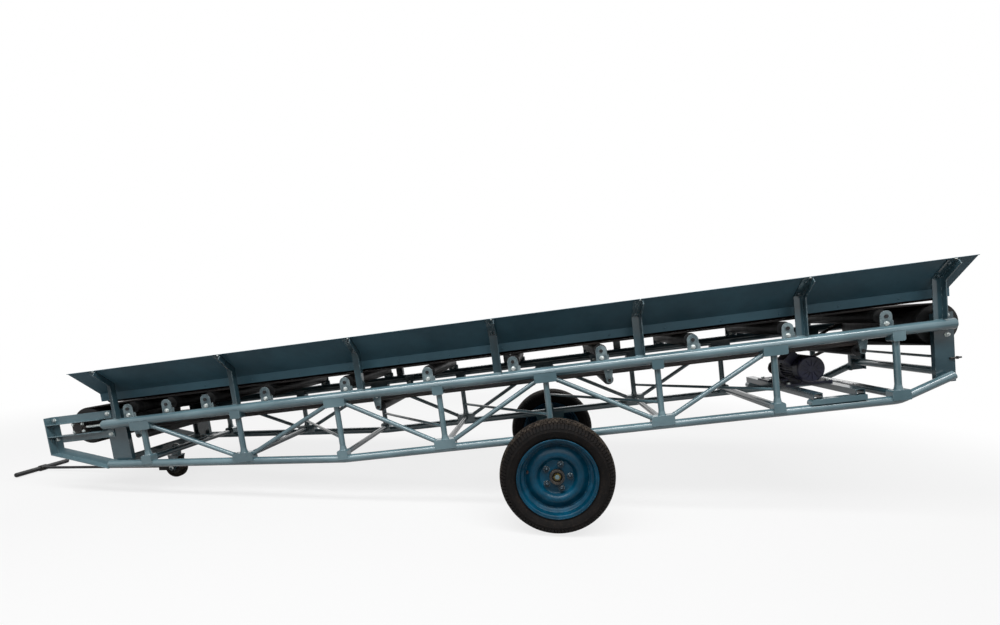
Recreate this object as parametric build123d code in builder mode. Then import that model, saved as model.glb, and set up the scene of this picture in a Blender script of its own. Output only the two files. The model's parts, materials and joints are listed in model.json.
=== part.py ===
from build123d import *
from math import acos, atan2, cos, degrees, hypot, pi, radians, sin
import os

os.makedirs("parts", exist_ok=True)

# Driving dimensions, in millimetres and degrees. The conveyor's own frame has X along the truss
# towards the head drum, Y across to its left side and Z square to the belt. Its zero is on the
# top chords' centre line, over the road axle. Sides are named as seen from the tail.

# Fits shared by all pieces
touch = 0.3
belt_gap = 0.8
overrun = 20

# Stance: how steeply the truss stands, and how far its zero is above the road axle
incline = 8.24
axle_drop = 552

# Truss: eight panel points, the fifth over the axle, and how far the end plates lie beyond them
panel = 636
panel_points = 8
tail_panels = 4
tail_overhang = 274
head_overhang = 217
truss_depth = 382
chord_od = 60
chord_wall = 4
lower_od = 48
lower_wall = 4
lower_bend = 160
vertical_od = 34
foot_od = 44
foot_flare = 26
diagonal_od = 27
diagonal_set_in = 14.5
brace_od = 18
brace_rise = 132
chord_tail_gap = 14
chord_head_gap = 22
lower_tail_gap = 3
lower_tail_rise = 127
lower_head_gap = 36
lower_head_rise = 104

# Saddle clips that join the members to the chords
clip_long = 130
clip_short = 65
clip_bend = 96
clip_height = 57
clip_side = 0.5
clip_corner = 7
lower_clip_side = 3

# Cross-members between the lower chords
cross_od = 34
heavy_cross_od = 46

# Belt, drums and rollers
belt_width = 650
belt_side_room = 84
belt_thickness = 8
drum_od = 219
drum_shell = 8
drum_margin = 5
drum_disc = 12
drum_shaft = 50
head_shaft_gap = 5
tail_drum_reach = 167
roller_od = 76
roller_wall = 4
roller_end_gap = 39
roller_rise = 83
roller_shaft = 20
roller_end = 6
roller_tail_gap = 361
feed_pitch = 262.5
feed_rollers = 3
feed_step = 391
run_pitches = 7
roller_head_gap = 311.4
return_od = 60
return_drop = 95
return_tail_gap = 368
return_step = 1591
return_pitches = 2
return_head_gap = 415.5

# Roller brackets
bracket_width = 64
bracket_plate = 6
bracket_head = 31
bolt_hole = 13
step_plate = 5
step_width = 58
step_offset = 12
step_rise = 26
hang_bolt_drop = 24
shaft_stand = 6
return_tip = 17
hang_rise = 15

# End plates: channels with their flanges turned in
plate_web = 8
plate_flange = 20
tail_plate_width = 128
tail_plate_top = 85
tail_plate_foot = 245
head_plate_width = 101
head_plate_top = 63
head_plate_foot = 319
lug_length = 12
lug_width = 30
lug_height = 44

# Tail frame: angle rails that carry the tail drum's take-up blocks
angle_leg = 50
angle_wall = 5
rail_lap = 45
tail_frame_reach = 209
slot_half = 36
tail_foot = 153
tail_strut_rise = 25
takeup_length = 84
takeup_width = 30
takeup_screw = 16
takeup_boss = 58
takeup_boss_reach = 8

# Head bearings, cross tie and belt scraper
bearing_width = 70
bearing_height = 160
bearing_depth = 22
bearing_boss = 76
tie_drop = 262
scraper_od = 16
scraper_drop = 182

# Side skirts
skirt_tail_gap = 115
skirt_head_reach = 74.5
skirt_side_room = 5
skirt_foot = 145
skirt_fold = 195
skirt_flare = 185
skirt_edge = 342
skirt_sheet = 3
skirt_lip = 8
rubber_thickness = 8
rubber_fold = 182
rubber_inset = 49
post_width = 50
post_plate = 5
post_leg = 35
post_seat = 5
post_tail_gap = 160
post_head_gap = 120
post_place_shares = (0, 0.167, 0.332, 0.504, 0.673, 0.854, 1)

# Road axle and its brackets
axle_square = 60
axle_end = 29
spindle_od = 40
bracket_top = 220
bracket_foot = 100
axle_plate = 8
axle_edge = 34

# Road wheels
wheel_stand_off = 200
tyre_od = 632
tyre_width = 190
tyre_tread = 14
rim_od = 406
rim_flange_od = 441
rim_width = 156
rim_wall = 4
disc_wall = 5
disc_centre_od = 186
disc_ring_od = 270
disc_edge_od = 352
disc_offset = 15
disc_crown = 45
disc_edge_offset = 20
hub_od = 90
hub_flange_od = 176
hub_flange = 8
hub_inboard = 92
pilot_od = 82
pilot_reach = 26
pilot_pocket = 60
pilot_pocket_depth = 22
spindle_end_gap = 4
spindle_thread = 24
lock_nut_flats = 38
lock_nut_height = 13

# Drive: motor, reducer and chain
motor_setback = 328
motor_drop = 193
motor_od = 160
motor_length = 250
motor_core_od = 138
motor_fins = 26
fin_width = 3
end_bell = 30
cowl_length = 62
cowl_round = 12
cowl_slots = 12
cowl_slot_width = 6
cowl_slot_depth = 4
terminal_length = 92
terminal_height = 46
terminal_depth = 84
terminal_corner = 8
terminal_angle = 135
motor_from = 190
motor_foot_drop = 100
motor_foot = 12
motor_foot_length = 150
rail_setback = 104
rail_pitch = 221
rail_width = 50
rail_height = 35
rail_wall = 5
seat_margin = 36
seat_round = 22
reducer_step = 40
reducer_drop = 235
reducer_top = 75
reducer_from = 75
reducer_length = 190
reducer_case_width = 132
reducer_case_length = 150
reducer_corner = 22
reducer_flange = 12
reducer_boss = 18
reducer_boss_od = 96
reducer_shaft = 35
chain_gap = 1
chain_links = 62
chain_inner_width = 8
chain_roller_od = 15
link_plate = 1.5
link_half = 9
link_end = 8
drive_teeth = 11
drum_teeth = 17
tooth_tip = 5
tooth_shares = [(-0.2, 0), (0.2, 0), (0.4, 0.6), (0.46, 1), (0.54, 1), (0.6, 0.6)]
sprocket_width = 7

# Tail castor
castor_inset = 119
castor_od = 150
castor_width = 46
castor_hub_od = 90
castor_dish_od = 70
castor_dish = 8
castor_boss_od = 36
castor_round = 12
castor_axle = 20
castor_axle_end = 8
castor_side_gap = 5
castor_crown_gap = 6
fork_plate = 8
fork_foot = 20
crown_length = 76
race_od = 60
race_height = 4
kingpin_od = 28
kingpin_head = 12
kingpin_head_od = 46
boss_od = 62
beam_width = 140
beam_plate = 12
beam_leg = 38
beam_leg_wall = 6
beam_leg_inset = 50

# Drawbar with its tee grip
drawbar_reach = 1060
drawbar_od = 19
yoke_side_gap = 6
yoke_plate = 8
yoke_depth = 30
yoke_clearance = 14
grip_od = 32
grip_half = 190
collar_od = 42
collar_half = 22
grip_round = 8

# Values worked out from the driving dimensions
truss_half = belt_width / 2 + belt_side_room
track_half = truss_half + wheel_stand_off
skirt_half = belt_width / 2 + skirt_side_room
skirt_edge_half = skirt_half + skirt_flare
chord_r = chord_od / 2
lower_r = lower_od / 2
drum_r = drum_od / 2
tyre_r = tyre_od / 2
castor_r = castor_od / 2
collar_r = collar_od / 2
points_u = [panel * (index - tail_panels) for index in range(panel_points)]
plate_face = truss_half - chord_r
tail_plate_from = tail_overhang - points_u[0]
head_plate_from = head_overhang + points_u[-1]
head_plate_end = head_plate_from + head_plate_width
chord_tail = tail_plate_from - chord_tail_gap
chord_head = head_plate_end - chord_head_gap
lower_tail = tail_plate_from - lower_tail_gap
lower_head = head_plate_end - lower_head_gap
tail_u = tail_plate_from + tail_drum_reach
head_u = head_plate_from + head_plate_width / 2
tail_end = tail_u + tail_frame_reach
skirt_tail = tail_u - skirt_tail_gap
skirt_head = head_u + skirt_head_reach
drum_length = belt_width + 2 * drum_margin
belt_inner_r = drum_r + belt_gap
belt_top = roller_rise + roller_od / 2 + belt_gap + belt_thickness
return_top = return_od / 2 - return_drop
roller_u = [roller_tail_gap - tail_u + feed_pitch * index for index in range(feed_rollers)]
run_tail = roller_u[-1] + feed_step
run_pitch = (head_u - roller_head_gap - run_tail) / run_pitches
roller_u += [run_tail + run_pitch * index for index in range(run_pitches + 1)]
return_u = [return_tail_gap - tail_u]
return_tail = return_u[0] + return_step
return_pitch = (head_u - return_head_gap - return_tail) / return_pitches
return_u += [return_tail + return_pitch * index for index in range(return_pitches + 1)]
post_run = skirt_tail - post_tail_gap + skirt_head - post_head_gap
post_u = [post_run * share - skirt_tail + post_tail_gap for share in post_place_shares]
castor_u = tail_plate_from - castor_inset
motor_u = points_u[-1] - motor_setback
reducer_u = motor_u + reducer_step
rail_u = [motor_u - rail_setback, motor_u - rail_setback + rail_pitch]


def lower_w(u):
    """Height of the lower chord's centre line at this place along the truss."""
    bend_tail = points_u[2]
    bend_head = points_u[-1]
    if u < bend_tail:
        return lower_tail_rise * (bend_tail - u) / (bend_tail + lower_tail) - truss_depth
    if u > bend_head:
        return lower_head_rise * (u - bend_head) / (lower_head - bend_head) - truss_depth
    return -truss_depth


# The stance: the truss turned by its incline and lifted on its wheels, centred between the
# belt at the head drum and the grip at the drawbar's end.
slope_cos = cos(radians(incline))
slope_sin = sin(radians(incline))
lift = tyre_r + axle_drop * slope_cos
castor_run = -castor_u * slope_cos - lower_w(-castor_u) * slope_sin
reach_head = head_u * slope_cos + belt_inner_r + belt_thickness
reach_tail = drawbar_reach + collar_r - castor_run
shift = (reach_tail - reach_head) / 2
stance = Location((shift, 0, lift), (0, -incline, 0))
castor_x = shift + castor_run
castor_chord_z = lift - castor_u * slope_sin + lower_w(-castor_u) * slope_cos
level = Location((0, 0, 0))


def keep(piece, name, place=stance):
    """Stand a finished piece in its place, label it and write it."""
    placed = piece.moved(place)
    placed.label = name
    export_step(placed, f"parts/{name}.step")


def keep_pair(piece, name, place=stance):
    """Write a right-hand piece, and its mirror image as the left-hand one."""
    keep(piece, f"{name}_right", place)
    keep(mirror(piece, about=Plane.XZ), f"{name}_left", place)


def folded(points, thickness):
    """Outline of a sheet of this thickness, folded along the points and laid on their left."""
    sides = []
    for start, end in zip(points, points[1:]):
        run = hypot(end[0] - start[0], end[1] - start[1])
        sides.append(((start[1] - end[1]) / run, (end[0] - start[0]) / run))
    back = []
    for index, point in enumerate(points):
        before = sides[max(index - 1, 0)]
        after = sides[min(index, len(sides) - 1)]
        mitre = thickness / (1 + before[0] * after[0] + before[1] * after[1])
        back.append((point[0] + (before[0] + after[0]) * mitre, point[1] + (before[1] + after[1]) * mitre))
    return list(points) + back[::-1]


def rod(start, end, od):
    """Round bar from one point to another, added to the open part."""
    run = Vector(*end) - Vector(*start)
    with BuildSketch(Plane(origin=start, z_dir=run.normalized())) as end_face:
        Circle(od / 2)
    extrude(end_face.sketch, amount=run.length)


def clip(u, w, length, depth, way, back, mode):
    """Saddle clip astride a chord, with its two far corners cut off; way is 1 for one that stands up."""
    end = w + way * clip_height
    with BuildSketch(Plane.XZ.offset(truss_half - depth / 2)) as side:
        Polygon(
            (u - length / 2, w - way * back),
            (u + length / 2, w - way * back),
            (u + length / 2, end - way * clip_corner),
            (u + length / 2 - clip_corner, end),
            (u - length / 2 + clip_corner, end),
            (u - length / 2, end - way * clip_corner),
            align=None,
        )
    extrude(side.sketch, amount=depth, mode=mode)


def top_clips(mode, back=0):
    """Saddle clips under the top chord: long where the diagonals meet it, short between."""
    for index, u in enumerate(points_u):
        length = clip_short if index % 2 else clip_long
        clip(u, 0, length, chord_od + 2 * clip_side, -1, back, mode)


def lower_clips(mode, back=0):
    """Saddle clips on the lower chord, long and short the other way round."""
    for index, u in enumerate(points_u):
        length = clip_long if index % 2 else clip_short
        if index == panel_points - 1:
            length = clip_bend
        clip(u, lower_w(u), length, lower_od + 2 * lower_clip_side, 1, back, mode)


# Top chord: a straight tube with its saddle clips
with BuildPart() as top_chord:
    with BuildSketch(Plane.YZ.offset(-chord_tail)):
        with Locations((-truss_half, 0)):
            Circle(chord_r)
    extrude(amount=chord_tail + chord_head)
    top_clips(Mode.ADD)
    with BuildSketch(Plane.YZ.offset(-chord_tail)):
        with Locations((-truss_half, 0)):
            Circle(chord_r - chord_wall)
    extrude(amount=chord_tail + chord_head, mode=Mode.SUBTRACT)
keep_pair(top_chord.part, "top_chord")

# Lower chord: a bent tube that rises towards both ends, with its clips
lower_route = [
    (-lower_tail, -truss_half, lower_w(-lower_tail)),
    (points_u[2], -truss_half, -truss_depth),
    (points_u[-1], -truss_half, -truss_depth),
    (lower_head, -truss_half, lower_w(lower_head)),
]
with BuildLine() as lower_line:
    FilletPolyline(*lower_route, radius=lower_bend)


def lower_tube(radius, mode):
    """Round bar along the lower chord: straight runs, and bends turned about their centres."""
    for edge in lower_line.edges():
        with BuildSketch(Plane(origin=edge @ 0, z_dir=edge % 0)) as section:
            Circle(radius)
        if edge.geom_type == GeomType.LINE:
            extrude(section.sketch, amount=edge.length, mode=mode)
        else:
            revolve(section.sketch, axis=Axis(edge.arc_center, (0, -1, 0)),
                    revolution_arc=degrees(edge.length / lower_bend), mode=mode)


with BuildPart() as lower_chord:
    lower_tube(lower_r, Mode.ADD)
    lower_clips(Mode.ADD)
    lower_tube(lower_r - lower_wall, Mode.SUBTRACT)
keep_pair(lower_chord.part, "lower_chord")

# Verticals and diagonals, each cut off where it meets its clips
with BuildPart() as verticals:
    for u in points_u:
        rod((u, -truss_half, lower_w(u)), (u, -truss_half, 0), vertical_od)
        with Locations((u, -truss_half, lower_w(u) + clip_height)):
            Cone(foot_od / 2, vertical_od / 2, foot_flare,
                 align=(Align.CENTER, Align.CENTER, Align.MIN))
    top_clips(Mode.SUBTRACT, overrun)
    lower_clips(Mode.SUBTRACT, overrun)
keep_pair(verticals.part, "truss_verticals")

with BuildPart() as diagonals:
    for index in range(panel_points - 2):
        upper_u = points_u[index + index % 2]
        lower_u = points_u[index + 1 - index % 2]
        rod((lower_u, -truss_half, lower_w(lower_u) + diagonal_set_in),
            (upper_u, -truss_half, -diagonal_set_in), diagonal_od)
    top_clips(Mode.SUBTRACT, overrun)
    lower_clips(Mode.SUBTRACT, overrun)
keep_pair(diagonals.part, "truss_diagonals")

# Cross-members between the lower clips, heavier at the drive end
cross_half = truss_half - lower_r - lower_clip_side
with BuildPart() as cross_members:
    for index, u in enumerate(points_u):
        od = cross_od if index < panel_points - 2 else heavy_cross_od
        w = lower_w(u) + clip_height / 2
        rod((u, -cross_half, w), (u, cross_half, w), od)
keep(cross_members.part, "cross_members")

def brace_w(u):
    """Height of the bracing rods at a vertical, clear of the flare at its foot."""
    return max(brace_rise - truss_depth, lower_w(u) + clip_height + foot_flare + brace_od / 2 + touch)


# Bracing rods that run aslant between the verticals of the two sides
with BuildPart() as plan_braces:
    for index in range(2, panel_points - 1):
        near = Vector(points_u[index], -truss_half, brace_w(points_u[index]))
        far = Vector(points_u[index - 1], truss_half, brace_w(points_u[index - 1]))
        step = (far - near).normalized() * (vertical_od / 2 + touch)
        rod(tuple(near + step), tuple(far - step), brace_od)
keep(plan_braces.part, "plan_braces")


def end_plate(start, width, foot, top):
    """Upright channel inside the chords: its web faces out and its flanges turn in."""
    for place, length, depth in (
        (start, width, plate_web),
        (start, plate_web, plate_web + plate_flange),
        (start + width - plate_web, plate_web, plate_web + plate_flange),
    ):
        with Locations((place, -plate_face, -foot)):
            Box(length, depth, top + foot, align=(Align.MIN, Align.MIN, Align.MIN))


# Tail plate, with the lug that the take-up screw turns in
with BuildPart() as tail_plate:
    end_plate(-tail_plate_from, tail_plate_width, tail_plate_foot, tail_plate_top)
    with Locations((-tail_plate_from, -plate_face, 0)):
        Box(lug_length, lug_width, lug_height, align=(Align.MIN, Align.MAX, Align.CENTER))
keep_pair(tail_plate.part, "tail_plate")

with BuildPart() as head_plate:
    end_plate(head_plate_from, head_plate_width, head_plate_foot, head_plate_top)
keep_pair(head_plate.part, "head_plate")

# Tail frame: two rails, an end upright and a strut, cut from one size of angle. Each has one leg
# upright, lapped on the tail plate's outer face, and one leg that stands out.
strut_foot = -lower_w(-lower_tail) + tail_strut_rise
tail_legs = [
    (slot_half, slot_half, 1),
    (-slot_half, -slot_half, -1),
    (-tail_foot, -strut_foot, 1),
]
angle_legs = [
    (angle_leg, angle_wall, rail_lap),
    (angle_wall, angle_leg, 0),
]
with BuildPart() as tail_frame:
    for end_w, plate_w, way in tail_legs:
        for reach, depth, lap in angle_legs:
            lap_w = plate_w + (plate_w - end_w) * lap / (tail_end - tail_plate_from)
            with BuildSketch(Plane.XZ.offset(plate_face)):
                Polygon(
                    (-tail_end, end_w),
                    (lap - tail_plate_from, lap_w),
                    (lap - tail_plate_from, lap_w + way * reach),
                    (-tail_end, end_w + way * reach),
                    align=None,
                )
            extrude(amount=depth)
    for reach, depth, lap in angle_legs:
        with Locations((-tail_end, -plate_face, -tail_foot)):
            Box(reach, depth, tail_foot + slot_half + angle_leg, align=(Align.MIN, Align.MAX, Align.MIN))
keep_pair(tail_frame.part, "tail_frame")


def rotor(length, od, wall, end, shaft, reach):
    """Hollow drum or roller on its shaft, lying along Y."""
    with BuildPart() as turned:
        with BuildSketch(Plane.XY):
            with Locations((od / 2 - wall / 2, 0)):
                Rectangle(wall, length)
            for way in (1, -1):
                with Locations((od / 4, way * (length - end) / 2)):
                    Rectangle(od / 2, end)
            with Locations((shaft / 4, 0)):
                Rectangle(shaft / 2, 2 * reach)
        revolve(axis=Axis.Y)
    return turned.part


# Drums at the two ends of the belt
takeup_reach = plate_face + takeup_width + takeup_boss_reach
head_shaft_reach = plate_face - plate_web - head_shaft_gap
with BuildPart() as tail_drum:
    with Locations((-tail_u, 0, 0)):
        add(rotor(drum_length, drum_od, drum_shell, drum_disc, drum_shaft, takeup_reach + touch))
keep(tail_drum.part, "tail_drum")

with BuildPart() as head_drum:
    with Locations((head_u, 0, 0)):
        add(rotor(drum_length, drum_od, drum_shell, drum_disc, drum_shaft, head_shaft_reach))
keep(head_drum.part, "head_drum")

# Take-up blocks slide between the tail frame's rails, each drawn back by its screw
with BuildPart() as tail_bearings:
    with Locations((-tail_u, -plate_face, 0)):
        Box(takeup_length, takeup_width, 2 * (slot_half - touch),
            align=(Align.CENTER, Align.MAX, Align.CENTER))
    with BuildSketch(Plane.XZ.offset(plate_face + takeup_width)):
        with Locations((-tail_u, 0)):
            Circle(takeup_boss / 2)
    extrude(amount=takeup_boss_reach)
    rod((takeup_length / 2 - tail_u, -plate_face - lug_width / 2, 0),
        (-tail_plate_from, -plate_face - lug_width / 2, 0), takeup_screw)
    with BuildSketch(Plane.XZ.offset(plate_face - overrun)):
        with Locations((-tail_u, 0)):
            Circle(drum_shaft / 2 + touch)
    extrude(amount=takeup_width + takeup_boss_reach + 2 * overrun, mode=Mode.SUBTRACT)
keep_pair(tail_bearings.part, "tail_bearing")

# Head bearings, bolted inside the head plates
bearing_from = plate_face - plate_web - bearing_depth
with BuildPart() as head_bearings:
    with BuildSketch(Plane.XZ.offset(bearing_from)):
        with Locations((head_u, 0)):
            Rectangle(bearing_width, bearing_height)
            Circle(bearing_boss / 2)
            Circle(drum_shaft / 2 + touch, mode=Mode.SUBTRACT)
    extrude(amount=bearing_depth)
keep_pair(head_bearings.part, "head_bearing")

# Tie tube and scraper bar between the head plates
tie_half = plate_face - plate_web
with BuildPart() as head_tie:
    rod((head_u, -tie_half, -tie_drop), (head_u, tie_half, -tie_drop), heavy_cross_od)
    rod((head_u, -tie_half, -scraper_drop), (head_u, tie_half, -scraper_drop), scraper_od)
keep(head_tie.part, "head_tie")


def tangent_point(centre, radius, point, way):
    """Where a line from the point touches the circle, on the side given by way."""
    base = atan2(point[1], point[0] - centre)
    angle = base + way * acos(radius / hypot(point[0] - centre, point[1]))
    return (centre + radius * cos(angle), radius * sin(angle))


def belt_line(radius, upper, lower):
    """Side view of one face of the belt: round both drums, over and under the rollers."""
    over_tail = (roller_u[0], upper)
    over_head = (roller_u[-1], upper)
    under_tail = (return_u[0], lower)
    under_head = (return_u[-1], lower)
    tail_top = tangent_point(-tail_u, radius, over_tail, 1)
    tail_foot_point = tangent_point(-tail_u, radius, under_tail, -1)
    head_top = tangent_point(head_u, radius, over_head, -1)
    head_foot_point = tangent_point(head_u, radius, under_head, 1)
    Polyline(tail_top, over_tail, over_head, head_top)
    ThreePointArc(head_top, (head_u + radius, 0), head_foot_point)
    Polyline(head_foot_point, under_head, under_tail, tail_foot_point)
    ThreePointArc(tail_foot_point, (-tail_u - radius, 0), tail_top)


# The belt is one closed loop, as it lies on its rollers
with BuildPart() as belt:
    with BuildSketch(Plane.XZ):
        with BuildLine():
            belt_line(belt_inner_r + belt_thickness, belt_top, return_top + belt_gap)
        make_face()
        with BuildLine():
            belt_line(belt_inner_r, belt_top - belt_thickness, return_top + belt_gap + belt_thickness)
        make_face(mode=Mode.SUBTRACT)
    extrude(amount=belt_width / 2, both=True)
keep(belt.part, "belt")

# Rollers under the carrying run and under the return run
roller_length = 2 * (truss_half - roller_end_gap)
shaft_reach = truss_half + bracket_plate / 2 + shaft_stand
carrying_roller = rotor(roller_length, roller_od, roller_wall, roller_end, roller_shaft, shaft_reach)
with BuildPart() as carrying_rollers:
    with Locations(*[(u, 0, roller_rise) for u in roller_u]):
        add(carrying_roller)
keep(carrying_rollers.part, "carrying_rollers")

hang_face = plate_face - clip_side - touch
return_roller = rotor(drum_length, return_od, roller_wall, roller_end, roller_shaft, hang_face + shaft_stand)
with BuildPart() as return_rollers:
    with Locations(*[(u, 0, -return_drop) for u in return_u]):
        add(return_roller)
keep(return_rollers.part, "return_rollers")

# Brackets that stand on the top chord, round over the roller's shaft
foot_w = chord_r + touch
with BuildPart() as carrying_bracket:
    with BuildSketch(Plane.XZ.offset(truss_half - bracket_plate / 2)):
        with Locations((0, roller_rise)):
            Circle(bracket_head)
        Polygon((-bracket_width / 2, foot_w), (bracket_width / 2, foot_w),
                (bracket_head, roller_rise), (-bracket_head, roller_rise), align=None)
        with Locations((0, roller_rise)):
            Circle(roller_shaft / 2 + touch, mode=Mode.SUBTRACT)
        with Locations((0, foot_w + step_rise / 2)):
            Circle(bolt_hole / 2, mode=Mode.SUBTRACT)
    extrude(amount=bracket_plate)
    with BuildSketch(Plane.XZ.offset(truss_half - bracket_plate / 2 - step_plate)):
        with Locations((step_offset, foot_w)):
            Rectangle(step_width, step_rise, align=(Align.CENTER, Align.MIN))
        with Locations((0, foot_w + step_rise / 2)):
            Circle(bolt_hole / 2, mode=Mode.SUBTRACT)
    extrude(amount=step_plate)
with BuildPart() as carrying_brackets:
    with Locations(*[(u, 0, 0) for u in roller_u]):
        add(carrying_bracket.part)
        add(mirror(carrying_bracket.part, about=Plane.XZ, mode=Mode.PRIVATE))
keep(carrying_brackets.part, "carrying_brackets")

# Brackets that hang from the top chord's inner side and taper to a round tip
with BuildPart() as return_bracket:
    with BuildSketch(Plane.XZ.offset(hang_face - bracket_plate)):
        with Locations((0, -return_drop)):
            Circle(return_tip)
        Polygon((-bracket_width / 2, hang_rise), (bracket_width / 2, hang_rise),
                (return_tip, -return_drop), (-return_tip, -return_drop), align=None)
        with Locations((0, -return_drop)):
            Circle(roller_shaft / 2 + touch, mode=Mode.SUBTRACT)
        with Locations((0, -hang_bolt_drop)):
            Circle(bolt_hole / 2, mode=Mode.SUBTRACT)
    extrude(amount=bracket_plate)
with BuildPart() as return_brackets:
    with Locations(*[(u, 0, 0) for u in return_u]):
        add(return_bracket.part)
        add(mirror(return_bracket.part, about=Plane.XZ, mode=Mode.PRIVATE))
keep(return_brackets.part, "return_brackets")

# Side skirts: a folded sheet, flared outwards, with a rubber strip that seals on the belt
skirt_length = skirt_tail + skirt_head
skirt_points = [(-skirt_half, skirt_foot), (-skirt_half, skirt_fold), (-skirt_edge_half, skirt_edge)]
with BuildPart() as skirt_sheet_part:
    with BuildSketch(Plane.YZ.offset(-skirt_tail)):
        lip_end = (-skirt_edge_half - skirt_lip, skirt_edge)
        Polygon(*folded([lip_end] + skirt_points[::-1], skirt_sheet), align=None)
    extrude(amount=skirt_length)
keep_pair(skirt_sheet_part.part, "skirt_sheet")

rubber_face = skirt_half - skirt_sheet - touch
rubber_rest = belt_top + touch
rubber_toe = belt_width / 2 - rubber_inset
rubber_points = [(-rubber_face, skirt_fold), (-rubber_face, rubber_fold), (-rubber_toe, rubber_rest)]
with BuildPart() as skirt_rubber:
    with BuildSketch(Plane.YZ.offset(-skirt_tail)):
        Polygon(*folded(rubber_points, rubber_thickness), align=None)
    extrude(amount=skirt_length)
keep_pair(skirt_rubber.part, "skirt_rubber")

# Posts: angles that stand on the top chord and bend out along the skirt's flare
flare_rise = (skirt_edge - skirt_fold) / (skirt_edge_half - skirt_half)
flare_gap = touch * hypot(1, flare_rise)
post_face = truss_half - post_seat
knee_w = skirt_fold + (post_face - skirt_half) * flare_rise - flare_gap
edge_w = skirt_edge - flare_gap
post_line = [(-skirt_edge_half, edge_w), (-post_face, knee_w), (-post_face, foot_w)]
with BuildPart() as post:
    for thickness, start, width in (
        (post_plate, -post_width / 2, post_width),
        (post_leg, post_width / 2 - post_plate, post_plate),
    ):
        with BuildSketch(Plane.YZ.offset(start)):
            Polygon(*folded(post_line[::-1], thickness), align=None)
        extrude(amount=width)
with BuildPart() as skirt_posts:
    with Locations(*[(u, 0, 0) for u in post_u]):
        add(post.part)
keep_pair(skirt_posts.part, "skirt_posts")

# Road axle: a square beam with a round spindle at each end
axle_half = truss_half + lower_r + axle_plate + axle_end
pocket_floor = track_half + disc_offset + pilot_reach - pilot_pocket_depth
spindle_end = track_half + disc_offset + pilot_reach - spindle_end_gap
with BuildPart() as axle_beam:
    with Locations((0, 0, -axle_drop)):
        Box(axle_square, 2 * axle_half, axle_square)
    rod((0, -pocket_floor, -axle_drop), (0, pocket_floor, -axle_drop), spindle_od)
    rod((0, -spindle_end, -axle_drop), (0, spindle_end, -axle_drop), spindle_thread)
keep(axle_beam.part, "axle_beam")

# Axle brackets: a pair of plates astride each lower chord, with the beam through them
with BuildPart() as axle_brackets:
    for face in (truss_half - lower_r - axle_plate, truss_half + lower_r):
        with BuildSketch(Plane.XZ.offset(face)):
            Polygon(
                (-bracket_top / 2, -truss_depth - touch),
                (bracket_top / 2, -truss_depth - touch),
                (bracket_foot / 2, -axle_drop - axle_square / 2 - axle_edge),
                (-bracket_foot / 2, -axle_drop - axle_square / 2 - axle_edge),
                align=None,
            )
            with Locations((0, -axle_drop)):
                Rectangle(axle_square + 2 * touch, axle_square + 2 * touch, mode=Mode.SUBTRACT)
        extrude(amount=axle_plate)
keep_pair(axle_brackets.part, "axle_bracket")

# Tyre section: across in shares of the half width, out in shares of the section's height
tyre_outer_shares = [(0.71, 0), (0.97, 0.37), (1, 0.53), (0.92, 0.76), (0.66, 0.92)]
tyre_inner_shares = [(0.58, 0), (0.88, 0.53), (0.7, 0.8)]


def turned(points, centre, height):
    """Ring turned about the wheel's axis from points given as distance out and radius."""
    with BuildSketch(Plane.XY.offset(height)) as section:
        Polygon(*[(radius, -centre - out) for out, radius in points], align=None)
    revolve(section.sketch, axis=Axis((0, 0, height), (0, 1, 0)))


def tyre_points(shares, crown):
    """Half of a tyre's face from bead to crown, then its mirror image."""
    bead = rim_od / 2 + touch
    half = [(tyre_width / 2 * out, bead + (tyre_r - bead) * rise) for out, rise in shares]
    return half + [(0, crown)] + [(-out, radius) for out, radius in half[::-1]]


with BuildPart() as tyre:
    turned(tyre_points(tyre_outer_shares, tyre_r)
           + tyre_points(tyre_inner_shares, tyre_r - tyre_tread)[::-1],
           track_half, -axle_drop)
keep_pair(tyre.part, "wheel_tyre")

# Rim with its drop centre, and the dished disc inside it
rim_half = rim_width / 2
well_r = disc_edge_od / 2
rim_line_shares = [(-1, 1), (-0.94, 0), (-0.42, -0.1), (-0.3, -1), (0.3, -1), (0.42, -0.1), (0.94, 0), (1, 1)]
rim_line = []
for out, rise in rim_line_shares:
    step = rim_flange_od / 2 - rim_od / 2 if rise > 0 else rim_od / 2 - well_r - rim_wall
    rim_line.append((rim_half * out, rim_od / 2 + rise * step))
disc_line = [
    (disc_edge_offset, well_r + rim_wall / 2),
    (disc_crown, disc_ring_od / 2 + disc_wall),
    (disc_crown, disc_ring_od / 2 - disc_wall),
    (disc_offset, disc_centre_od / 2),
    (disc_offset, pilot_od / 2 + touch),
]
with BuildPart() as rim:
    turned(folded(rim_line, -rim_wall), track_half, -axle_drop)
    turned(folded(disc_line, -disc_wall), track_half, -axle_drop)
keep_pair(rim.part, "wheel_rim")

# Hub on the spindle, with its flange behind the disc and its pilot through it
hub_face = disc_offset - disc_wall - touch
spindle_bore = spindle_od / 2 + touch
pilot_end = disc_offset + pilot_reach
hub_line = [
    (-hub_inboard, spindle_bore),
    (-hub_inboard, hub_od / 2),
    (hub_face - hub_flange, hub_od / 2),
    (hub_face - hub_flange, hub_flange_od / 2),
    (hub_face, hub_flange_od / 2),
    (hub_face, pilot_od / 2),
    (pilot_end, pilot_od / 2),
    (pilot_end, pilot_pocket / 2),
    (pilot_end - pilot_pocket_depth, pilot_pocket / 2),
    (pilot_end - pilot_pocket_depth, spindle_bore),
]
with BuildPart() as hub:
    turned(hub_line, track_half, -axle_drop)
keep_pair(hub.part, "wheel_hub")

# Nut on the spindle's thread, inside the hub's open pilot
with BuildPart() as lock_nut:
    with BuildSketch(Plane.XZ.offset(pocket_floor + touch)):
        with Locations((0, -axle_drop)):
            RegularPolygon(lock_nut_flats / 2, 6, major_radius=False)
            Circle(spindle_thread / 2 + touch, mode=Mode.SUBTRACT)
    extrude(amount=lock_nut_height)
keep_pair(lock_nut.part, "wheel_lock_nut")

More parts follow.
